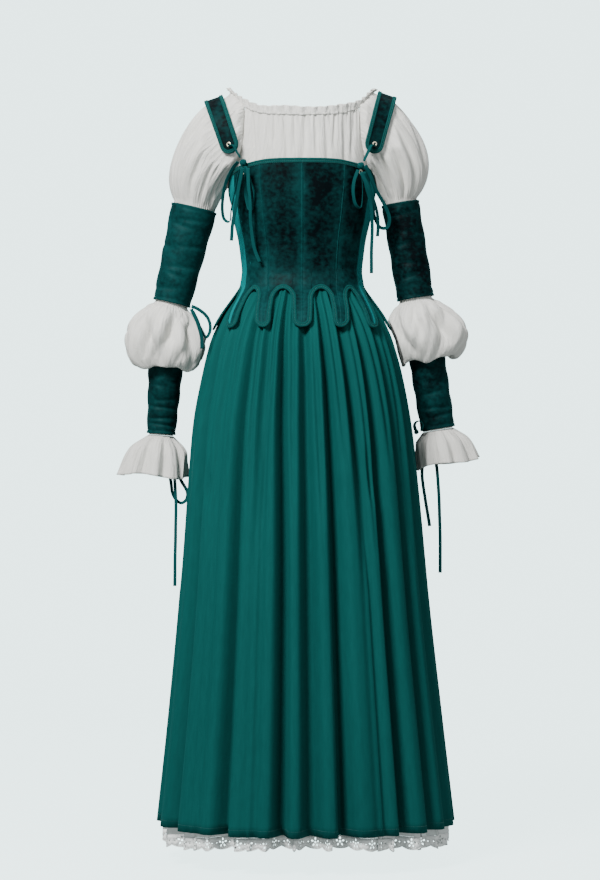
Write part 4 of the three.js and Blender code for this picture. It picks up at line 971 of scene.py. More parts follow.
side_crepe = cloth_look(
    "teal side crepe", [(0.0010, 0.115, 0.118), (0.0025, 0.150, 0.152)], 0.45, 0.6, 0.0009, 0.7, 0.05,
    (0.05, 0.9, 0.9, 1),
)
for seam, name in enumerate(PANELS):
    crepe = "crepe" in name
    cloth, painted_sheen = panel_cloth(seam, crepe)
    sew(
        name + "_cloth", cloth, side_crepe if crepe else green_velvet, VELVET, inside=(0, 0, -0.28),
        nodes=[name], level=True,
        painted_sheen=painted_sheen,
    )

# A fine ridge of turned velvet stands along each seam from the top edge to the tab's end.
RIDGE_HALF = 0.0013
RIDGE_HEIGHT = 0.0011
RIDGE_FOOT = -0.0004
RIDGE_PAINTED_SHEEN = 0.9
BODICE_RADIUS = 0.115

ridges = bmesh.new()
beside = np.linspace(-1, 1, 7)
for seam in range(len(SEAMS)):
    top = top_edge_down(seam_turn(seam, 0.0))
    down = top + 0.006 + (TAB_END - 0.008 - top) * np.linspace(0, 1, 60)[:, None]
    turn = seam_turn(seam, down) + np.degrees(RIDGE_HALF / BODICE_RADIUS) * beside
    points = on_bodice(turn, down, RIDGE_HEIGHT * np.cos(beside * np.pi / 2) + RIDGE_FOOT)
    rows = [[ridges.verts.new(point) for point in row] for row in points]
    for row, following in zip(rows, rows[1:]):
        for i in range(6):
            ridges.faces.new((row[i], following[i], following[i + 1], row[i + 1]))
# The ridges carry strong painted sheen, so they show as light lines.
painted_sheen_layer = ridges.verts.layers.float.new("painted_sheen")
for vert in ridges.verts:
    vert[painted_sheen_layer] = RIDGE_PAINTED_SHEEN
new_piece("bodice_seam_ridges", ridges, green_velvet)

# ---------------------------------------------------------------------------------------------------
# Bindings. Bias strips of crepe fold over the bodice's top edge and its scallops, and are stitched
# down twice, which leaves two raised lines with a groove between them.
BINDING = 0.0008
TOP_BINDING_WIDTH = 0.008
TAB_BINDING_WIDTH = 0.0078

# How far the strip reaches back over the edge it wraps, as a share of its width.
WRAP = -0.12

# Where the two stitch lines lie across the strip, and how high the upper one's thread stands.
UPPER_STITCHES = 0.46
LOWER_STITCHES = 0.93
STITCH_LIFT = 0.0008

# Height of the folded strip across its width, from behind the edge it wraps to its inner foot.
BINDING_PROFILE = [
    (-0.22, -0.0028), (-0.16, -0.001), (-0.02, 0.0008), (0.18, 0.0015), (0.34, 0.0013), (0.46, 0.0004),
    (0.6, 0.0012), (0.82, 0.0014), (0.96, 0.0006), (1, 0.0002),
]

binding_crepe = cloth_look(
    "binding crepe", [(0.0012, 0.037, 0.035), (0.0028, 0.053, 0.049)], 0.5, 0.8, 0.0006, 0.65, 0.08,
    (0.1, 0.9, 0.85, 1),
)


def top_strip(turn, across):
    lift = blend(BINDING_PROFILE, across)[..., 0]
    return on_bodice(turn, top_edge_down(turn) + TOP_BINDING_WIDTH * np.maximum(across, WRAP), lift)


def tab_strip(across):
    """The strip along the whole scalloped edge, one column for each point of its outline."""
    strips = []
    for seam in range(len(SEAMS)):
        share, down = scallop_outline(seam, 14)
        wide = seam_distance(seam, down)
        flat = np.stack([share * wide, down], axis=1)
        before = [-flat[1, 0], flat[1, 1]]
        after = [2 * flat[-1, 0] - flat[-2, 0], flat[-2, 1]]
        line = np.vstack([before, flat, after])
        along = line[2:] - line[:-2]
        along /= np.linalg.norm(along, axis=1, keepdims=True)
        reach = TAB_BINDING_WIDTH * np.maximum(across, WRAP)[:, None]
        lift = blend(BINDING_PROFILE, across)[:, :1]
        spot_share = share + along[:, 1] * reach / wide
        spot_down = down - along[:, 0] * reach
        strips.append(panel_point(seam, spot_share, spot_down, lift + 0 * spot_down)[:, :-1])
    return np.concatenate(strips + [strips[0][:, :1]], axis=1)


binding_rows = np.array([row[0] for row in BINDING_PROFILE])
binding_rows = np.sort(np.concatenate([binding_rows, [0.26, 0.40, 0.53, 0.71, 0.90]]))
strip_turn, strip_across = grid_of(np.linspace(0, 360, 361), binding_rows)
sew(
    "top_binding_cloth", top_strip(strip_turn, strip_across), binding_crepe, BINDING, ring=True,
    nodes=["bodice_top_binding"],
)
sew(
    "tab_binding_cloth", tab_strip(binding_rows), binding_crepe, BINDING, ring=True,
    nodes=["bodice_tab_binding"],
)
stitch_turn = np.linspace(0, 360, 721)
for row, across in (("upper", UPPER_STITCHES), ("lower", LOWER_STITCHES)):
    line = on_bodice(stitch_turn, top_edge_down(stitch_turn) + TOP_BINDING_WIDTH * across, STITCH_LIFT)
    run_stitches(f"top_binding_stitches_{row}", line, outwards_of(line))
tab_line = tab_strip(np.array([UPPER_STITCHES]))[0]
run_stitches("tab_binding_stitches", tab_line, outwards_of(tab_line))

# ---------------------------------------------------------------------------------------------------
# Shoulder straps. Each strap of lined velvet runs from the bodice's front edge over the shoulder and
# ends in a point above its back edge. A stitched crepe binding follows its sides and the point.
STRAP_WIDTH = 0.035
STRAP_POINT = 0.017
STRAP_BINDING_WIDTH = 0.0065
STRAP_ANGLES = np.linspace(-89, 89, 357)
BODY_MIDDLE = (0, 0, -0.300)

# Each strap's side, and how far out and down its crest lies.
STRAP_CRESTS = {"left": (-1, 0.164, 0.009), "right": (1, 0.158, 0.002)}
STRAP_BACK = (0.1275, -0.078, 0.119)
STRAP_FRONT = (0.104, 0.084, 0.146)
STRAP_SLOPE = (0.93, 0, -0.37)
STRAP_BACK_ACROSS = (0.92, 0.38, -0.06)
STRAP_FRONT_ACROSS = (0.82, -0.57, -0.02)

# Wrinkles across the straps: distance along from the front end, drift, start and end across, depth,
# half width.
STRAP_WRINKLES = [
    (0.06, 0.004, -0.018, 0.014, 0.0011, 0.0032), (0.105, -0.005, -0.012, 0.018, 0.0012, 0.003),
    (0.148, 0.003, -0.018, 0.01, 0.001, 0.0028), (0.196, 0.005, -0.014, 0.018, 0.0012, 0.0032),
    (0.232, -0.004, -0.018, 0.012, 0.0012, 0.0026), (0.256, 0.003, -0.01, 0.018, 0.0008, 0.0024),
]


def unit(v):
    return v / np.maximum(np.linalg.norm(v, axis=-1, keepdims=True), 1e-12)


def dot(a, b):
    return (a * b).sum(axis=-1, keepdims=True)


def strap_middle(name, angle):
    side, crest_out, crest_down = STRAP_CRESTS[name]
    out, fore, down = [np.where(angle > 0, b, f) for b, f in zip(STRAP_BACK, STRAP_FRONT)]
    fallen = 1 - cos_of(angle)
    reach = np.abs(sin_of(angle)) ** 0.85
    x = side * (crest_out + (out - crest_out) * fallen)
    return np.stack([x, fore * reach, -(crest_down + (down - crest_down) * fallen)], axis=-1)


def strap_frame(name, angle):
    """The strap's middle, and its directions along, across and out of the cloth."""
    angle = np.asarray(angle, float)
    middle = strap_middle(name, angle)
    along = unit(strap_middle(name, angle + 1) - strap_middle(name, angle - 1))
    turned = np.abs(sin_of(angle))[..., None]
    end = np.where((angle > 0)[..., None], STRAP_BACK_ACROSS, STRAP_FRONT_ACROSS)
    across = (np.array(STRAP_SLOPE) * (1 - turned) + end * turned) * (STRAP_CRESTS[name][0], 1, 1)
    across = unit(across - along * dot(across, along))
    normal = unit(np.cross(along, across))
    return middle, along, across, normal * np.sign(dot(normal, middle - BODY_MIDDLE))


def strap_spot(name, reach, beside, out):
    """A point of a strap, from its distance along the middle line, to one side and off the cloth."""
    frames = strap_frame(name, STRAP_ANGLES)
    lengths = run_along(frames[0])
    middle, along, across, normal = [spot_on(reach, lengths, part) for part in frames]
    beyond = (reach - np.clip(reach, 0, lengths[-1]))[..., None]
    return middle + along * beyond + across * beside[..., None] + normal * out[..., None]


def strap_half(to_tip):
    """Half width of a strap at a distance from its point."""
    return STRAP_WIDTH / 2 * np.sqrt(1 - (1 - np.clip(to_tip / STRAP_POINT, 0.0004, 1)) ** 2)


def strap_rim(total):
    """Outline of a strap as distances along and beside: up one side, round the point and back."""
    reach = np.concatenate([
        np.linspace(0, total - STRAP_POINT, 90)[:-1],
        total - STRAP_POINT * (1 - np.sin(np.linspace(0, np.pi / 2, 12))),
    ])
    half = strap_half(total - reach)
    return np.concatenate([reach, reach[-2::-1]]), np.concatenate([half, -half[-2::-1]])


def strap_height(reach, beside):
    wrinkles = crease_depth(reach, beside, STRAP_WRINKLES, wrap=10.0)
    return 0.0004 * np.sin(95 * reach + 40 * beside) - wrinkles


for name in STRAP_CRESTS:
    total = run_along(strap_frame(name, STRAP_ANGLES)[0])[-1]
    to_tip = np.concatenate([np.linspace(total / STRAP_POINT, 1, 80)[:-1], np.linspace(1, 0, 16)])
    reach, share = np.meshgrid(total - STRAP_POINT * to_tip, np.linspace(-1, 1, 25), indexing="ij")
    beside = share * strap_half(total - reach)
    cloth = strap_spot(name, reach, beside, strap_height(reach, beside))
    sew(
        f"strap_cloth_{name}", cloth, green_velvet, VELVET, inside=BODY_MIDDLE, nodes=[f"strap_{name}"],
    )
    rim_reach, rim_beside = strap_rim(total)
    rim = np.stack([rim_reach, rim_beside], axis=1)
    travel = unit(np.gradient(rim, axis=0))
    inwards = np.stack([travel[:, 1], -travel[:, 0]], axis=1)
    spots = rim + inwards * STRAP_BINDING_WIDTH * np.maximum(binding_rows, WRAP)[:, None, None]
    rim_side = np.sign(rim_beside)
    kept_side = rim_side * np.maximum(rim_side * spots[..., 1], 0.0001)
    lift = blend(BINDING_PROFILE, binding_rows)[:, :1] * 0.9 + strap_height(rim_reach, rim_beside) * 0.5
    binding = strap_spot(name, spots[..., 0], kept_side, lift + 0.0003)
    sew(
        f"strap_binding_cloth_{name}", binding, binding_crepe, BINDING, inside=BODY_MIDDLE,
        nodes=[f"strap_binding_{name}"],
    )
    line = binding[np.argmin(np.abs(binding_rows - UPPER_STITCHES))]
    normals = unit(line - np.array(BODY_MIDDLE))
    run_stitches(f"strap_stitches_{name}", line + 0.0003 * normals, normals)

# ---------------------------------------------------------------------------------------------------
# Chemise sleeves. A full cotton sleeve is gathered into the raglan seam and drawn in under each velvet
# tube, so that it puffs out over the shoulder and round the elbow. Two lengths are joined under the
# upper tube.
SLEEVE_CLEARANCE = 0.0045
STRAP_PRESS = 0.0065
PRESS_FADE = 0.036
NECK_PLACE = 60
PUFF_BULGE = {"left": 0.19, "right": 0.32}
PUFF_CREASE_GAIN = 1.25
ELBOW_CREASE_GAIN = 0.9

# out, forward, down, half width, half depth, gathers, tilt
SLEEVE_RINGS = {
    "left": [
        (0.1983, 0, 0.206, 0.038, 0.0365, 0, 13.5), (0.2423, 0.008, 0.39, 0.0306, 0.0306, 0, 13.5),
        (0.244, 0.009, 0.399, 0.043, 0.041, 0.0025, 13.5),
        (0.249, 0.013, 0.424, 0.064, 0.058, 0.005, 9), (0.252, 0.017, 0.46, 0.075, 0.067, 0.006, 9),
        (0.254, 0.02, 0.49, 0.068, 0.06, 0.006, 4), (0.254, 0.021, 0.507, 0.049, 0.046, 0.003, 4),
        (0.2526, 0.0214, 0.489, 0.033, 0.033, 0, 4), (0.2527, 0.0216, 0.493, 0.0276, 0.0276, 0, 4),
        (0.2629, 0.0423, 0.631, 0.0226, 0.0226, 0, 4),
    ],
    "right": [
        (0.181, 0, 0.197, 0.0306, 0.0306, 0, 9.3), (0.211, 0.008, 0.381, 0.0302, 0.0302, 0, 9.3),
        (0.213, 0.009, 0.39, 0.042, 0.04, 0.0025, 9.3), (0.22, 0.012, 0.414, 0.063, 0.057, 0.005, 9.3),
        (0.231, 0.016, 0.447, 0.074, 0.066, 0.006, 9.3), (0.235, 0.019, 0.474, 0.066, 0.06, 0.006, 9.3),
        (0.232, 0.021, 0.493, 0.05, 0.046, 0.003, 9.3), (0.2303, 0.0214, 0.473, 0.0345, 0.033, 0, 9.3),
        (0.2305, 0.0216, 0.477, 0.0288, 0.0276, 0, 9.3),
        (0.2536, 0.0423, 0.621, 0.0282, 0.0226, 0, 9.3),
    ],
}

# Creases of the shoulder puffs: place round the sleeve, drift, start, end, depth, half width.
PUFF_CREASES = [
    (-8, 10, 0.25, 1, 0.004, 5), (-22, -6, 0.45, 1, 0.005, 4), (-36, 4, 0.1, 0.75, 0.0045, 5),
    (-48, -8, 0.35, 1, 0.006, 4.5), (-62, 6, 0.05, 0.85, 0.005, 5.5), (-75, -4, 0.4, 1, 0.006, 4.5),
    (-88, 5, 0.08, 0.8, 0.0055, 5.5), (-101, -6, 0.3, 1, 0.0065, 5), (-116, 4, 0.05, 0.9, 0.0055, 5.5),
    (-131, -5, 0.35, 1, 0.0065, 5), (-146, 3, 0.05, 0.85, 0.005, 5.5), (-163, 2, 0.25, 1, 0.0045, 5),
    (178, 3, 0.2, 1, 0.0045, 5.5), (160, -3, 0.05, 0.8, 0.005, 5), (143, 5, 0.3, 1, 0.0055, 5.5),
    (126, -4, 0.05, 0.9, 0.005, 5.5), (108, 6, 0.35, 1, 0.0055, 5), (91, -5, 0.05, 0.85, 0.005, 5.5),
    (74, 4, 0.3, 1, 0.0055, 5), (57, -6, 0.1, 0.8, 0.0045, 5.5), (40, 5, 0.4, 1, 0.005, 4.5),
    (22, -4, 0.15, 0.85, 0.004, 5), (7, 4, 0.5, 1, 0.0045, 4),
]

# Creases of the elbow puffs: place, drift, start and end as shares of the puff, depth, half width.
ELBOW_CREASES = [
    (-4, 48, 0.05, 0.75, 0.0081, 7.5), (-21, -16, 0.3, 1, 0.0051, 5), (-38, 41, 0, 0.8, 0.0094, 8.125),
    (-57, -31, 0.25, 1, 0.0059, 5.5), (-74, 16, 0, 0.7, 0.01, 8.125), (-92, -41, 0.3, 1, 0.0059, 5.5),
    (-110, 27, 0, 0.85, 0.0094, 8.125), (-129, -16, 0.25, 1, 0.0059, 6),
    (-149, 31, 0, 0.75, 0.0081, 7.5), (-170, -27, 0.3, 1, 0.0051, 5.5), (168, 14, 0, 0.8, 0.0081, 7.5),
    (149, -31, 0.25, 1, 0.0055, 6), (129, 34, 0, 0.75, 0.0088, 8.125), (109, -13, 0.3, 1, 0.0055, 5.5),
    (90, 31, 0, 0.85, 0.0088, 8.125), (70, -34, 0.25, 1, 0.0055, 6), (50, 14, 0, 0.75, 0.0081, 7.5),
    (31, -24, 0.3, 1, 0.0051, 5.5), (13, 27, 0.05, 0.8, 0.0075, 7.5),
]

# Slanting crumples of the elbow puffs: height, waves round the arm for every half turn, start, slant.
ELBOW_CRUMPLES = [(0.011, 1.5, 25, 2.4), (0.008, 2.5, 70, -3.4), (0.004, 6, 0, 5.5)]


def unsquared(v):
    return np.sign(v) * np.abs(v) ** (ROUNDNESS / 2)


def clear_of_body(points, clearance=SLEEVE_CLEARANCE):
    """Moves a sleeve's points sideways until they are just clear of the bodice and the skirt."""
    points = points.copy()
    down = -points[..., 2]
    size = body_size(down)
    depth = np.where(points[..., 1] < 0, size[..., 1], size[..., 2]) + clearance
    sideways, backwards = unsquared(points[..., 0] / size[..., 0]), -unsquared(points[..., 1] / depth)
    turn = np.degrees(np.arctan2(sideways, backwards))
    across = np.abs(points[..., 1]) / depth
    edge = (size[..., 0] + clearance) * np.clip(1 - across**ROUNDNESS, 0, 1) ** (1 / ROUNDNESS)
    inside = (down >= top_edge_down(turn) - clearance) & (across < 1) & (np.abs(points[..., 0]) < edge)
    points[..., 0] = np.where(inside, np.sign(points[..., 0]) * edge, points[..., 0])
    return points


def pressed_by_straps(points, shoulder):
    """Presses the cotton in under the strap. Beside the strap it swells up again."""
    points = points.copy()
    middles, alongs, acrosses, normals = strap_frame(shoulder, np.linspace(-90, 90, 61))
    away = points[..., None, :] - middles
    nearest = np.argmin((away**2).sum(axis=-1), axis=-1)
    middle, along, across, normal = [part[nearest] for part in (middles, alongs, acrosses, normals)]
    away = points - middle
    beside = np.maximum(0, np.abs(dot(away, across)[..., 0]) - STRAP_WIDTH / 2) / PRESS_FADE
    height = dot(away, normal)[..., 0]
    most = -STRAP_PRESS + 0.024 * beside**2
    under = (beside < 1) & (height > most) & (height < 0.06) & (np.abs(dot(away, along)[..., 0]) < 0.012)
    return points + normal * np.where(under, most - height, 0)[..., None]


def arm_point(ring, side, place, extra=0.0):
    """A point on a tilted ring round an arm. The outer side is the raised one."""
    out, fore, down, wide, deep, tilt = [ring[..., k] for k in (0, 1, 2, 3, 4, -1)]
    outwards = (wide + extra) * cos_of(place)
    forwards = (deep + extra) * sin_of(place)
    rise = np.radians(tilt)
    x = side * (out + outwards * np.cos(rise))
    return np.stack([x, fore + forwards, -down + outwards * np.sin(rise)], axis=-1)


def raglan_point(side, place):
    front = place > 0
    centre = np.where(front, 180, 0)
    away = np.abs(place)
    near_neck = 90 - (90 - NECK_CORNER) * away / NECK_PLACE
    share = np.clip((away - NECK_PLACE) / (180 - NECK_PLACE), 0, 1)
    round_body = np.where(away <= NECK_PLACE, near_neck, raglan_turn(share))
    turn = np.where(front, 180 - round_body, round_body) * side
    seam_top = neckline_down(centre + NECK_CORNER)
    down = np.where(away <= NECK_PLACE, neckline_down(turn), seam_top + (RAGLAN_END - seam_top) * share)
    return on_chemise(turn, down)


def puff_point(name, side, place, share):
    ring = np.array(SLEEVE_RINGS[name][0])
    start = raglan_point(side, place)
    end = arm_point(ring, side, place)
    size = np.linalg.norm(end - start, axis=-1, keepdims=True)
    outwards, forwards = cos_of(place), sin_of(place)
    leave = np.stack([side * (0.7 + 0.3 * outwards), forwards, -0.4 * (1 - outwards)], axis=-1)
    arrive = np.stack([side * outwards * PUFF_BULGE[name], 0.2 * forwards, 0.36 + 0 * outwards], axis=-1)
    f = share[..., None]
    second, third = start + leave * 0.21 * size, end + arrive * size
    return (1 - f) ** 3 * start + 3 * f * (1 - f) ** 2 * second + 3 * f * f * (1 - f) * third + f**3 * end


def sleeve_profile(name):
    """The sleeve's rings with a key in front: their distance down the length of the cloth."""
    rings = np.array(SLEEVE_RINGS[name], float)
    return np.column_stack([run_along(rings[:, [0, 2, 3]]), rings])


def puff_cloth(name, side):
    place, share = grid_of(np.linspace(-180, 180, 181), np.linspace(0, 1, 40))
    swell = np.sin(np.pi * np.clip(share, 0, 1)) ** 0.6
    gathers = 0.0011 * cos_of(58 * place + 90 * sin_of(4 * place))
    gathers *= np.exp(-share / 0.16) + 1.3 * np.exp(-(1 - share) / 0.14)
    soft = 0.0020 * np.sin(np.radians(13 * place) + 3.1 * share + side) * swell
    lumps = 0.0016 * np.sin(np.radians(7 * place) - 5.3 * share) * swell
    height = gathers + soft + lumps - PUFF_CREASE_GAIN * crease_depth(place, share, PUFF_CREASES)
    height *= np.minimum(1, share / 0.05 + 0.05)
    cloth = puff_point(name, side, place, share)
    across = np.roll(cloth[:, :-1], -1, axis=1) - np.roll(cloth[:, :-1], 1, axis=1)
    normal = unit(np.cross(np.gradient(cloth[:, :-1], axis=0), across)) * side
    normal = np.concatenate([normal, normal[:, :1]], axis=1)
    centre = cloth[:, :-1].mean(axis=1)[:, None]
    normal *= np.where(dot(normal, cloth - centre).mean() < 0, -1, 1)
    rings = np.array(SLEEVE_RINGS[name], float)
    top, foot = arm_point(rings[0], side, place[0]), arm_point(rings[1], side, place[0])
    hidden = np.stack([top + (foot - top) * f for f in (0.17, 0.34, 0.5)])
    return np.concatenate([cloth + normal * height[..., None], hidden])


def elbow_cloth(name, side):
    profile = sleeve_profile(name)
    start, end = profile[1, 0], profile[8, 0]
    keys = np.concatenate([
        [0.5 * start + 0.0006], [0.75 * start], np.linspace(start - 0.004, end, 60),
        np.linspace(end, profile[-1, 0], 5)[1:],
    ])
    place, key = grid_of(np.linspace(-180, 180, 169), keys)
    ring = blend(profile, key)
    share = np.clip((key - start) / (profile[7, 0] - start), 0, 1)
    swell = np.sin(np.pi * share) ** 0.7
    folds = 0.6 * np.cos(np.radians(9 * place) + 0.8 * side)
    folds = folds + 0.4 * np.cos(np.radians(14 * place) + 2.0 + 2.5 * share)
    fine = 0.0010 * cos_of(47 * place + 70 * sin_of(5 * place))
    fine *= (np.exp(-share / 0.12) + np.exp(-(1 - share) / 0.16)) * (share > 0) * (share < 1)
    lumps = 0.0022 * np.sin(np.radians(5 * place) + 7 * share + side)
    creased = lumps - ELBOW_CREASE_GAIN * crease_depth(place, share, ELBOW_CREASES)
    for most, waves, start_at, slant in ELBOW_CRUMPLES:
        wave = np.sin(np.radians(waves * place + start_at) + slant * side * share)
        creased = creased + most * (np.abs(wave) ** 0.8 - 0.6)
    puff = arm_point(ring, side, place, 0.5 * ring[..., 5] * folds + fine + creased * swell)
    sag = 0.0045 * np.sin(np.radians(4 * place) + 1.3 * side) + 0.0035 * np.sin(np.radians(7 * place) + 0.5)
    puff[..., 2] -= sag * np.sin(np.pi * np.clip((share - 0.35) / 0.65, 0, 1))
    return puff


SIDES = (("left", -1), ("right", 1))
for name, side in SIDES:
    puff = puff_cloth(name, side)
    puff[1:] = clear_of_body(pressed_by_straps(puff[1:], name))
    sew(
        f"shoulder_puff_{name}", puff, white_cotton, COTTON, ring=True, inside=(side * 0.185, 0, -0.12),
        nodes=[f"chemise_sleeve_{name}"],
    )
    elbow = clear_of_body(elbow_cloth(name, side))
    sew(
        f"elbow_puff_{name}", elbow, white_cotton, COTTON, ring=True, inside=(side * 0.25, 0.02, -0.46),
        nodes=[f"chemise_elbow_{name}"],
    )

# ---------------------------------------------------------------------------------------------------
# Wrist frills. A deep strip of cotton is gathered into the cuff seam and falls open in flutes, with a
# narrow stitched hem.
WRIST_CLOTH = 0.0010

# rise along the frill, out, forward, down, half width, half depth, flutes, tilt
WRIST_FRILLS = {
    "left": [
        (0, 0.2629, 0.0423, 0.6315, 0.0226, 0.0226, 0.0004, 4),
        (0.38, 0.268, 0.045, 0.657, 0.05, 0.044, 0.0045, 4),
        (1, 0.274, 0.048, 0.707, 0.066, 0.059, 0.0072, 4),
    ],
    "right": [
        (0, 0.2536, 0.0423, 0.6215, 0.0282, 0.0226, 0.0004, 9.3),
        (0.38, 0.26, 0.045, 0.644, 0.049, 0.044, 0.0045, 9.3),
        (1, 0.268, 0.048, 0.684, 0.061, 0.058, 0.0072, 9.3),
    ],
}

for name, side in SIDES:
    place, drop = grid_of(np.linspace(0, 360, 241), np.linspace(0, 1, 21))
    ring = blend(WRIST_FRILLS[name], drop)
    flutes = 0.75 * np.cos(np.radians(12 * place) + 0.9 * sin_of(2 * place))
    flutes = flutes + 0.25 * np.cos(np.radians(19 * place) + 1.5 + side)
    gathers = 0.0010 * cos_of(60 * place) * np.exp(-drop / 0.12) * np.minimum(1, drop / 0.04)
    rim = 0.0006 * hump(drop - 0.93, 0.02)
    frill = arm_point(ring, side, place, ring[..., 5] * flutes + gathers - rim)
    frill[..., 2] += 0.003 * np.sin(np.radians(3 * place) + side) * drop
    sew(
        f"wrist_frill_cloth_{name}", clear_of_body(frill), white_cotton, WRIST_CLOTH, ring=True,
        inside=(side * 0.265, 0.045, -0.665), nodes=[f"wrist_frill_{name}"],
    )

# ---------------------------------------------------------------------------------------------------
# Velvet tubes. Close-fitting lined velvet, one tube round each upper arm and one round each forearm,
# hemmed at both ends with a stitched fold.
TUBE_HEM = 0.006
TUBE_CLEARANCE = 0.0005

# Each tube's side, then out, forward, down, half width and half depth of its top and its bottom.
TUBES = {
    "upper_sleeve_left": (-1, (0.1995, 0, 0.211, 0.0427, 0.041), (0.2416, 0.008, 0.387, 0.0349, 0.0349)),
    "upper_sleeve_right": (1, (0.1818, 0, 0.202, 0.0349, 0.0349), (0.2106, 0.008, 0.378, 0.0345, 0.0345)),
    "lower_sleeve_left": (
        -1, (0.2529, 0.022, 0.4975, 0.0326, 0.0326), (0.2627, 0.042, 0.629, 0.0266, 0.0266),
    ),
    "lower_sleeve_right": (
        1, (0.2312, 0.022, 0.481, 0.0338, 0.0326), (0.2533, 0.042, 0.619, 0.0322, 0.0266),
    ),
}

# Painted sheen on each tube, most on the left nearer the key lamp, as if its nap were brushed towards the
# light.
TUBE_PAINTED_SHEEN = {
    "upper_sleeve_left": 0.75, "upper_sleeve_right": 0.0,
    "lower_sleeve_left": 0.55, "lower_sleeve_right": 0.42,
}

# Creases round the tubes: share of the length, drift, start and end place, depth, half width.
TUBE_CREASES = {
    "upper_sleeve_left": [
        (0.12, 0.05, -150, -40, 0.0022, 0.02), (0.24, -0.06, -120, -10, 0.0026, 0.024),
        (0.38, 0.05, -160, -60, 0.0022, 0.022), (0.47, -0.05, -90, 20, 0.0024, 0.026),
        (0.6, 0.06, -150, -30, 0.0024, 0.024), (0.74, -0.04, -130, -50, 0.0026, 0.022),
        (0.85, 0.04, -110, 10, 0.0024, 0.022), (0.3, 0.05, 30, 140, 0.0022, 0.024),
        (0.52, -0.05, 60, 170, 0.0022, 0.024), (0.76, 0.05, 20, 130, 0.0024, 0.022),
    ],
    "upper_sleeve_right": [
        (0.15, -0.05, -140, -30, 0.0022, 0.02), (0.3, 0.06, -110, 0, 0.002, 0.026),
        (0.46, -0.04, -160, -70, 0.0022, 0.022), (0.62, 0.05, -120, -20, 0.0024, 0.024),
        (0.8, -0.06, -150, -50, 0.0024, 0.022), (0.88, 0.03, -80, 20, 0.002, 0.018),
        (0.26, 0.05, 40, 150, 0.0022, 0.024), (0.55, -0.05, 20, 120, 0.0022, 0.024),
        (0.78, 0.05, 60, 170, 0.0024, 0.022),
    ],
    "lower_sleeve_left": [
        (0.16, 0.05, -140, -30, 0.002, 0.03), (0.34, -0.06, -110, 0, 0.002, 0.034),
        (0.5, 0.04, -150, -50, 0.0024, 0.03), (0.64, -0.03, -170, -10, 0.003, 0.026),
        (0.76, 0.04, -160, 0, 0.0036, 0.026), (0.88, -0.03, -170, -10, 0.0032, 0.022),
        (0.4, 0.05, 30, 150, 0.0022, 0.03), (0.66, -0.04, 10, 160, 0.0028, 0.028),
        (0.84, 0.03, 20, 170, 0.0028, 0.024),
    ],
    "lower_sleeve_right": [
        (0.18, -0.05, -150, -40, 0.0022, 0.03), (0.36, 0.06, -120, -10, 0.002, 0.034),
        (0.54, -0.04, -150, -40, 0.0022, 0.03), (0.7, 0.04, -160, -20, 0.0026, 0.028),
        (0.85, -0.04, -140, -10, 0.0026, 0.024), (0.38, 0.05, 30, 150, 0.0022, 0.03),
        (0.62, -0.04, 10, 140, 0.0024, 0.03), (0.82, 0.03, 40, 170, 0.0026, 0.026),
    ],
}

for name, (side, top, foot) in TUBES.items():
    lean = math.degrees(math.atan2(foot[0] - top[0], foot[2] - top[2]))
    length = math.dist(top[:3], foot[:3])
    place, share = grid_of(np.linspace(-180, 180, 97), np.linspace(0, 1, 65))
    ring = np.array(top) + (np.array(foot) - np.array(top)) * share[..., None]
    ring = np.concatenate([ring, np.full(share.shape + (1,), lean)], axis=-1)
    to_end = np.minimum(share, 1 - share) * length
    hem = 0.0005 * (1 - soft_step(to_end, TUBE_HEM * 0.8, TUBE_HEM))
    hem = hem - 0.0009 * hump(to_end - TUBE_HEM, 0.0012)
    free = soft_step(to_end, 0.002, 0.012)
    ripple = 0.0008 * np.sin(np.radians(4 * place) + 19 * share + side) * free
    creased = crease_depth(share, place, TUBE_CREASES[name], wrap=10.0)
    tube = arm_point(ring, side, place, hem + ripple - creased * (0.25 + 0.75 * free))
    # Painted sheen: lighter near the hems and in the creases, over each tube's own amount.
    painted_sheen_mask = np.clip(TUBE_PAINTED_SHEEN[name] + 0.6 * np.exp(-to_end / 0.005) + 60 * creased, 0, 1)
    sew(
        f"velvet_tube_{name}", clear_of_body(tube, TUBE_CLEARANCE), green_velvet, VELVET, ring=True,
        inside=tuple(tube.reshape(-1, 3).mean(axis=0)), nodes=[f"velvet_{name}"],
        painted_sheen=painted_sheen_mask,
    )

# ---------------------------------------------------------------------------------------------------
# Eyelets. Pressed brass rings with a rolled lip, one in each strap's point and one in the bodice
# beside it.
EYELET_HOLE = 0.0021
EYELET_RIM = 0.0046
EYELET_ABOVE = 0.0006875
EYELET_BELOW = 0.000385
EYELET_LIFT = 0.0009
STRAP_EYELET_ANGLE = 81
BODICE_EYELET = (49, 0.151)

brass, brass_tree, brass_shader = new_look("pale brass", {"Metallic": 1.0})
brass_wear = noise_node(brass_tree, object_place(brass_tree), 500.0)
tint(brass_tree, brass_shader, brass_wear, [(0.62, 0.54, 0.38), (0.88, 0.82, 0.66)])
brass_tree.links.new(
    math_node(brass_tree, "MULTIPLY_ADD", brass_wear, 0.25, 0.22), brass_shader.inputs["Roughness"]
)


def eyelet(name, spot, normal):
    ring = bmesh.new()
    band = (EYELET_RIM - EYELET_HOLE) / 2
    lip = bmesh.ops.create_circle(ring, segments=14, radius=1.0)["verts"]
    for vert in lip:
        x, y, z = vert.co
        rise = EYELET_ABOVE if y > 0 else EYELET_BELOW
        vert.co = (EYELET_HOLE + band + x * band, 0, y * rise)
    spin_round(ring, lip, math.radians(360), 40)
    bmesh.ops.recalc_face_normals(ring, faces=ring.faces[:])
    turned = Vector(normal).to_track_quat("Z", "Y")
    for vert in ring.verts:
        vert.co = turned @ vert.co + Vector(spot) + Vector(normal) * EYELET_LIFT
    new_piece(name, ring, brass, [name.replace("_ring", "")])


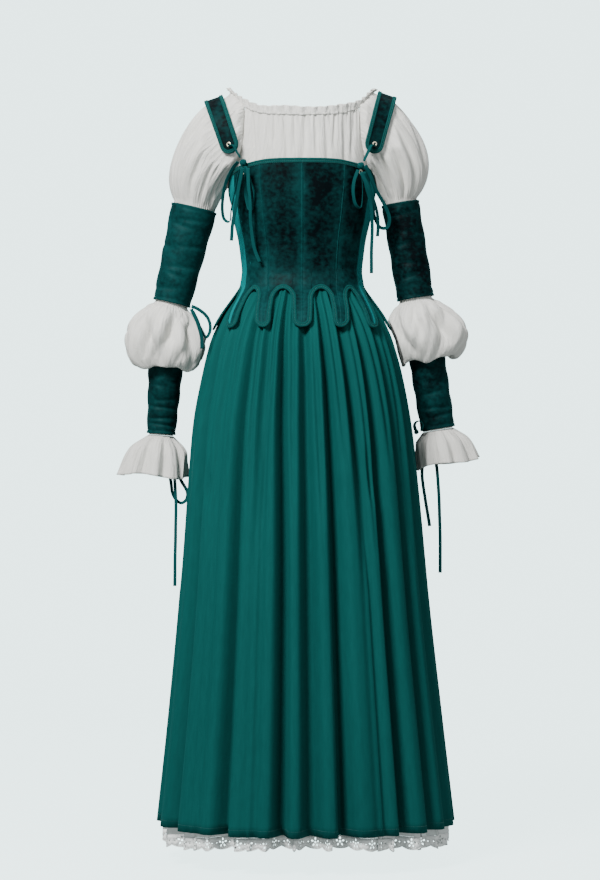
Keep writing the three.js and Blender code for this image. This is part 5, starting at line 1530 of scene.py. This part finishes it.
for name, side in SIDES:
    middle, along, across, normal = strap_frame(name, np.array([STRAP_EYELET_ANGLE]))
    eyelet(f"strap_eyelet_ring_{name}", middle[0], normal[0])
    turn, down = side * BODICE_EYELET[0] % 360, BODICE_EYELET[1]
    spot = on_bodice(turn, down)
    sideways = on_bodice(turn + 1, down) - on_bodice(turn - 1, down)
    upwards = on_bodice(turn, down - 0.005) - on_bodice(turn, down + 0.005)
    eyelet(f"bodice_eyelet_ring_{name}", spot, unit(np.cross(sideways, upwards)))

# ---------------------------------------------------------------------------------------------------
# Ties. Flat bias ribbon of crepe laces the straps to the bodice and is tied in bows, and smaller ties
# hang from the elbow and the wrists. The ends hang free.
RIBBON_WIDTH = 0.0065
RIBBON_THICKNESS = 0.0014
RIBBON_CORNERS = 16
RIBBON_STEP = 0.0025

# How far the ribbons twist about their lines, in degrees, one after the other.
RIBBON_TWISTS = (14, -18, 22, -12)

# Each ribbon's free line, from its knot to its far end.
RIBBONS = {
    "shoulder_lacing_left": [
        (-0.126, -0.087, -0.104), (-0.119, -0.088, -0.116), (-0.112, -0.087, -0.127),
    ],
    "shoulder_loop_inner_left": [
        (-0.103, -0.085, -0.142), (-0.102, -0.081, -0.167), (-0.102, -0.076, -0.195),
        (-0.095, -0.079, -0.221), (-0.087, -0.087, -0.196), (-0.094, -0.089, -0.167),
        (-0.101, -0.091, -0.144),
    ],
    "shoulder_tail_inner_left": [
        (-0.098, -0.096, -0.146), (-0.097, -0.096, -0.18), (-0.094, -0.092, -0.215),
        (-0.093, -0.082, -0.25), (-0.087, -0.075, -0.29), (-0.077, -0.075, -0.316),
    ],
    "shoulder_loop_outer_left": [
        (-0.1165, -0.084, -0.134), (-0.126, -0.076, -0.144), (-0.137, -0.068, -0.165),
        (-0.144, -0.062, -0.192), (-0.146, -0.058, -0.218), (-0.142, -0.056, -0.236),
        (-0.133, -0.06, -0.241), (-0.129, -0.067, -0.22), (-0.124, -0.074, -0.193),
        (-0.117, -0.082, -0.16), (-0.112, -0.09, -0.145),
    ],
    "shoulder_tail_outer_left": [
        (-0.108, -0.097, -0.146), (-0.114, -0.09, -0.175), (-0.121, -0.078, -0.215),
        (-0.127, -0.068, -0.248), (-0.129, -0.063, -0.276),
    ],
    "shoulder_lacing_right": [
        (0.127, -0.087, -0.104), (0.119, -0.089, -0.119), (0.112, -0.089, -0.133),
    ],
    "shoulder_loop_inner_right": [
        (0.102, -0.088, -0.149), (0.095, -0.089, -0.169), (0.093, -0.086, -0.192),
        (0.098, -0.08, -0.212), (0.106, -0.075, -0.217), (0.11, -0.079, -0.195), (0.11, -0.087, -0.168),
        (0.107, -0.093, -0.153),
    ],
    "shoulder_loop_outer_right": [
        (0.115, -0.087, -0.141), (0.123, -0.08, -0.156), (0.135, -0.07, -0.184),
        (0.152, -0.062, -0.213), (0.16, -0.058, -0.236), (0.156, -0.056, -0.251),
        (0.144, -0.06, -0.252), (0.133, -0.067, -0.236), (0.129, -0.075, -0.211),
        (0.122, -0.086, -0.178), (0.114, -0.096, -0.154),
    ],
    "shoulder_tail_long_right": [
        (0.11, -0.101, -0.154), (0.117, -0.096, -0.18), (0.126, -0.083, -0.215), (0.128, -0.07, -0.25),
        (0.127, -0.06, -0.29), (0.127, -0.054, -0.335),
    ],
    "shoulder_tail_short_right": [
        (0.107, -0.106, -0.156), (0.121, -0.102, -0.182), (0.131, -0.09, -0.207),
        (0.137, -0.074, -0.228), (0.139, -0.066, -0.25), (0.138, -0.061, -0.268),
    ],
    "elbow_loop_left": [
        (-0.203, -0.033, -0.394), (-0.19, -0.034, -0.4), (-0.175, -0.035, -0.413),
        (-0.169, -0.036, -0.428), (-0.17, -0.037, -0.443), (-0.176, -0.039, -0.452),
        (-0.184, -0.041, -0.441), (-0.191, -0.042, -0.42), (-0.2, -0.042, -0.403),
    ],
    "elbow_tail_left": [
        (-0.203, -0.049, -0.4), (-0.191, -0.054, -0.427), (-0.184, -0.057, -0.451),
        (-0.183, -0.057, -0.473),
    ],
    "wrist_tail_left": [
        (-0.25, 0.034, -0.642), (-0.241, 0.027, -0.68), (-0.236, 0.02, -0.718), (-0.234, 0.016, -0.77),
        (-0.235, 0.014, -0.834), (-0.236, 0.014, -0.911),
    ],
    "wrist_loop_left": [
        (-0.258, 0.042, -0.645), (-0.249, 0.035, -0.69), (-0.244, 0.031, -0.719),
        (-0.241, 0.029, -0.739), (-0.234, 0.027, -0.751), (-0.225, 0.027, -0.757),
        (-0.216, 0.028, -0.752), (-0.213, 0.03, -0.738), (-0.227, 0.034, -0.712),
        (-0.238, 0.041, -0.68), (-0.251, 0.048, -0.648),
    ],
    "wrist_loop_right": [
        (0.211, 0.027, -0.621), (0.209, 0.02, -0.613), (0.213, 0.014, -0.606), (0.22, 0.012, -0.606),
        (0.225, 0.013, -0.613), (0.221, 0.018, -0.621),
    ],
    "wrist_tail_short_right": [
        (0.24, 0.034, -0.63), (0.23, 0.027, -0.665), (0.223, 0.022, -0.7), (0.229, 0.018, -0.75),
        (0.237, 0.016, -0.8),
    ],
    "wrist_tail_long_right": [
        (0.25, 0.028, -0.63), (0.247, 0.019, -0.665), (0.251, 0.013, -0.7), (0.254, 0.01, -0.751),
        (0.256, 0.008, -0.825), (0.256, 0.008, -0.886),
    ],
}

# Each knot's middle and radius, the ribbon it goes with, and a short lacing that goes with that too.
KNOTS = {
    "shoulder_knot_left": (
        (-0.107, -0.082, -0.135), 0.007, "shoulder_loop_inner_left", ["shoulder_lacing_left"],
    ),
    "shoulder_knot_right": (
        (0.107, -0.083, -0.141), 0.007, "shoulder_loop_inner_right", ["shoulder_lacing_right"],
    ),
    "wrist_knot_right": ((0.213, 0.032, -0.625), 0.005, "wrist_loop_right", []),
}

ribbon_crepe = cloth_look(
    "ribbon crepe", [(0.0010, 0.036, 0.037), (0.0024, 0.055, 0.055)], 0.6, 0.8, 0.0006, 0.7, 0.05,
    (0.05, 0.9, 0.85, 1),
)


def ribbon_line(route):
    """A smooth line through a ribbon's points, with even spacing."""
    route = np.array(route, float)
    ends = [2 * route[0] - route[1], *route, 2 * route[-1] - route[-2]]
    line = []
    for a, b, c, d in zip(ends, ends[1:], ends[2:], ends[3:]):
        knots = np.cumsum([0, *[math.sqrt(math.dist(p, q)) for p, q in ((a, b), (b, c), (c, d))]])
        for t in np.linspace(knots[1], knots[2], 12, endpoint=False):
            ab = a + (b - a) * (t - knots[0]) / (knots[1] - knots[0])
            bc = b + (c - b) * (t - knots[1]) / (knots[2] - knots[1])
            cd = c + (d - c) * (t - knots[2]) / (knots[3] - knots[2])
            abc = ab + (bc - ab) * (t - knots[0]) / (knots[2] - knots[0])
            bcd = bc + (cd - bc) * (t - knots[1]) / (knots[3] - knots[1])
            line.append(abc + (bcd - abc) * (t - knots[1]) / (knots[2] - knots[1]))
    line = np.array([*line, route[-1]])
    reach = run_along(line)
    even = np.linspace(0, reach[-1], max(8, int(reach[-1] / RIBBON_STEP)))
    return spot_on(even, reach, line), float(reach[-1])


def ribbon(name, route, turned):
    """A flat ribbon with turned edges, closed at its ends. It slowly turns about its line."""
    line, length = ribbon_line(route)
    along = unit(np.gradient(line, axis=0))
    across = np.zeros_like(line)
    side = np.array([1.0, 0, 0])
    for i, forward in enumerate(along):
        side = side - forward * side.dot(forward)
        side = side / np.linalg.norm(side)
        across[i] = side
    normal = unit(np.cross(along, across))
    twist = np.radians(turned) * (0.35 + np.sin(np.linspace(0, np.pi, len(line)))[:, None])
    cos, sin = np.cos(twist), np.sin(twist)
    across, normal = across * cos + normal * sin, normal * cos - across * sin
    corner = np.radians(np.arange(RIBBON_CORNERS) * 360 / RIBBON_CORNERS)
    cos, sin = np.cos(corner), np.sin(corner)
    flat = RIBBON_WIDTH / 2 * np.sign(cos) * np.abs(cos) ** 0.7
    rim = 1 + 0.35 * (np.abs(cos) > 0.5) * (np.abs(cos) < 0.98)
    thick = RIBBON_THICKNESS / 2 * np.sign(sin) * np.abs(sin) ** 0.7 * rim
    ripple = 0.0005 * np.sin(np.linspace(0, length / 0.011, len(line)))[:, None, None]
    shell = line[:, None] + across[:, None] * flat[:, None] + normal[:, None] * (thick[:, None] + ripple)
    tube = bmesh.new()
    cloth = tube.loops.layers.uv.new("cloth")
    rings = [[tube.verts.new(point) for point in ring] for ring in shell]
    for i, (ring, following) in enumerate(zip(rings, rings[1:])):
        for k in range(RIBBON_CORNERS):
            beyond = (k + 1) % RIBBON_CORNERS
            face = tube.faces.new((ring[k], ring[beyond], following[beyond], following[k]))
            spots = ((k, i), (k + 1, i), (k + 1, i + 1), (k, i + 1))
            for loop, (u, v) in zip(face.loops, spots):
                loop[cloth].uv = (u * RIBBON_WIDTH * 2 / RIBBON_CORNERS, v * length / (len(line) - 1))
    for ring in (rings[0], rings[-1]):
        tube.faces.new(ring)
    bmesh.ops.recalc_face_normals(tube, faces=tube.faces[:])
    piece = new_piece(name, tube, ribbon_crepe, [name.replace("_ribbon", "")])
    return piece, line, length


def knot(name, middle, radius):
    """A flat knot: the ribbon passes over itself in three soft bands."""
    ball = bmesh.new()
    bmesh.ops.create_uvsphere(ball, u_segments=36, v_segments=24, radius=1.0)
    cloth = ball.loops.layers.uv.new("cloth")
    for vert in ball.verts:
        x, y, z = vert.co
        slant = 0.83 * z + 0.55 * x
        bands = abs(math.sin(math.pi * 1.5 * slant)) ** 0.5
        swell = radius * (0.80 + 0.20 * bands + 0.05 * math.sin(9 * x + 4 * z))
        vert.co = (middle[0] + x * swell, middle[1] + y * swell * 0.8, middle[2] + z * swell * 0.95)
    for face in ball.faces:
        for loop in face.loops:
            loop[cloth].uv = (loop.vert.co.x, loop.vert.co.z)
    return new_piece(name, ball, ribbon_crepe, [name.replace("_wrap", "")])


ribbon_pieces = {}
for i, (name, route) in enumerate(RIBBONS.items()):
    if "lacing" in name:
        middle, along, across, normal = strap_frame(name.split("_")[-1], np.array([STRAP_EYELET_ANGLE]))
        route = [tuple((middle + along * 0.004 + normal * 0.0032)[0]), *route]
    ribbon_name = name.replace("_left", "_ribbon_left").replace("_right", "_ribbon_right")
    ribbon_pieces[name] = ribbon(ribbon_name, route, RIBBON_TWISTS[i % len(RIBBON_TWISTS)])
knot_pieces = {name: knot(name.replace("_knot", "_knot_wrap"), *KNOTS[name][:2]) for name in KNOTS}
goes_with = {name: [] for name in RIBBONS}
for name, (middle, radius, first, others) in KNOTS.items():
    goes_with[first].append(knot_pieces[name])
    goes_with[first].extend(ribbon_pieces[other][0] for other in others)
with_another = {other for row in KNOTS.values() for other in row[3]}
for name, (piece, line, length) in ribbon_pieces.items():
    if name in with_another:
        continue
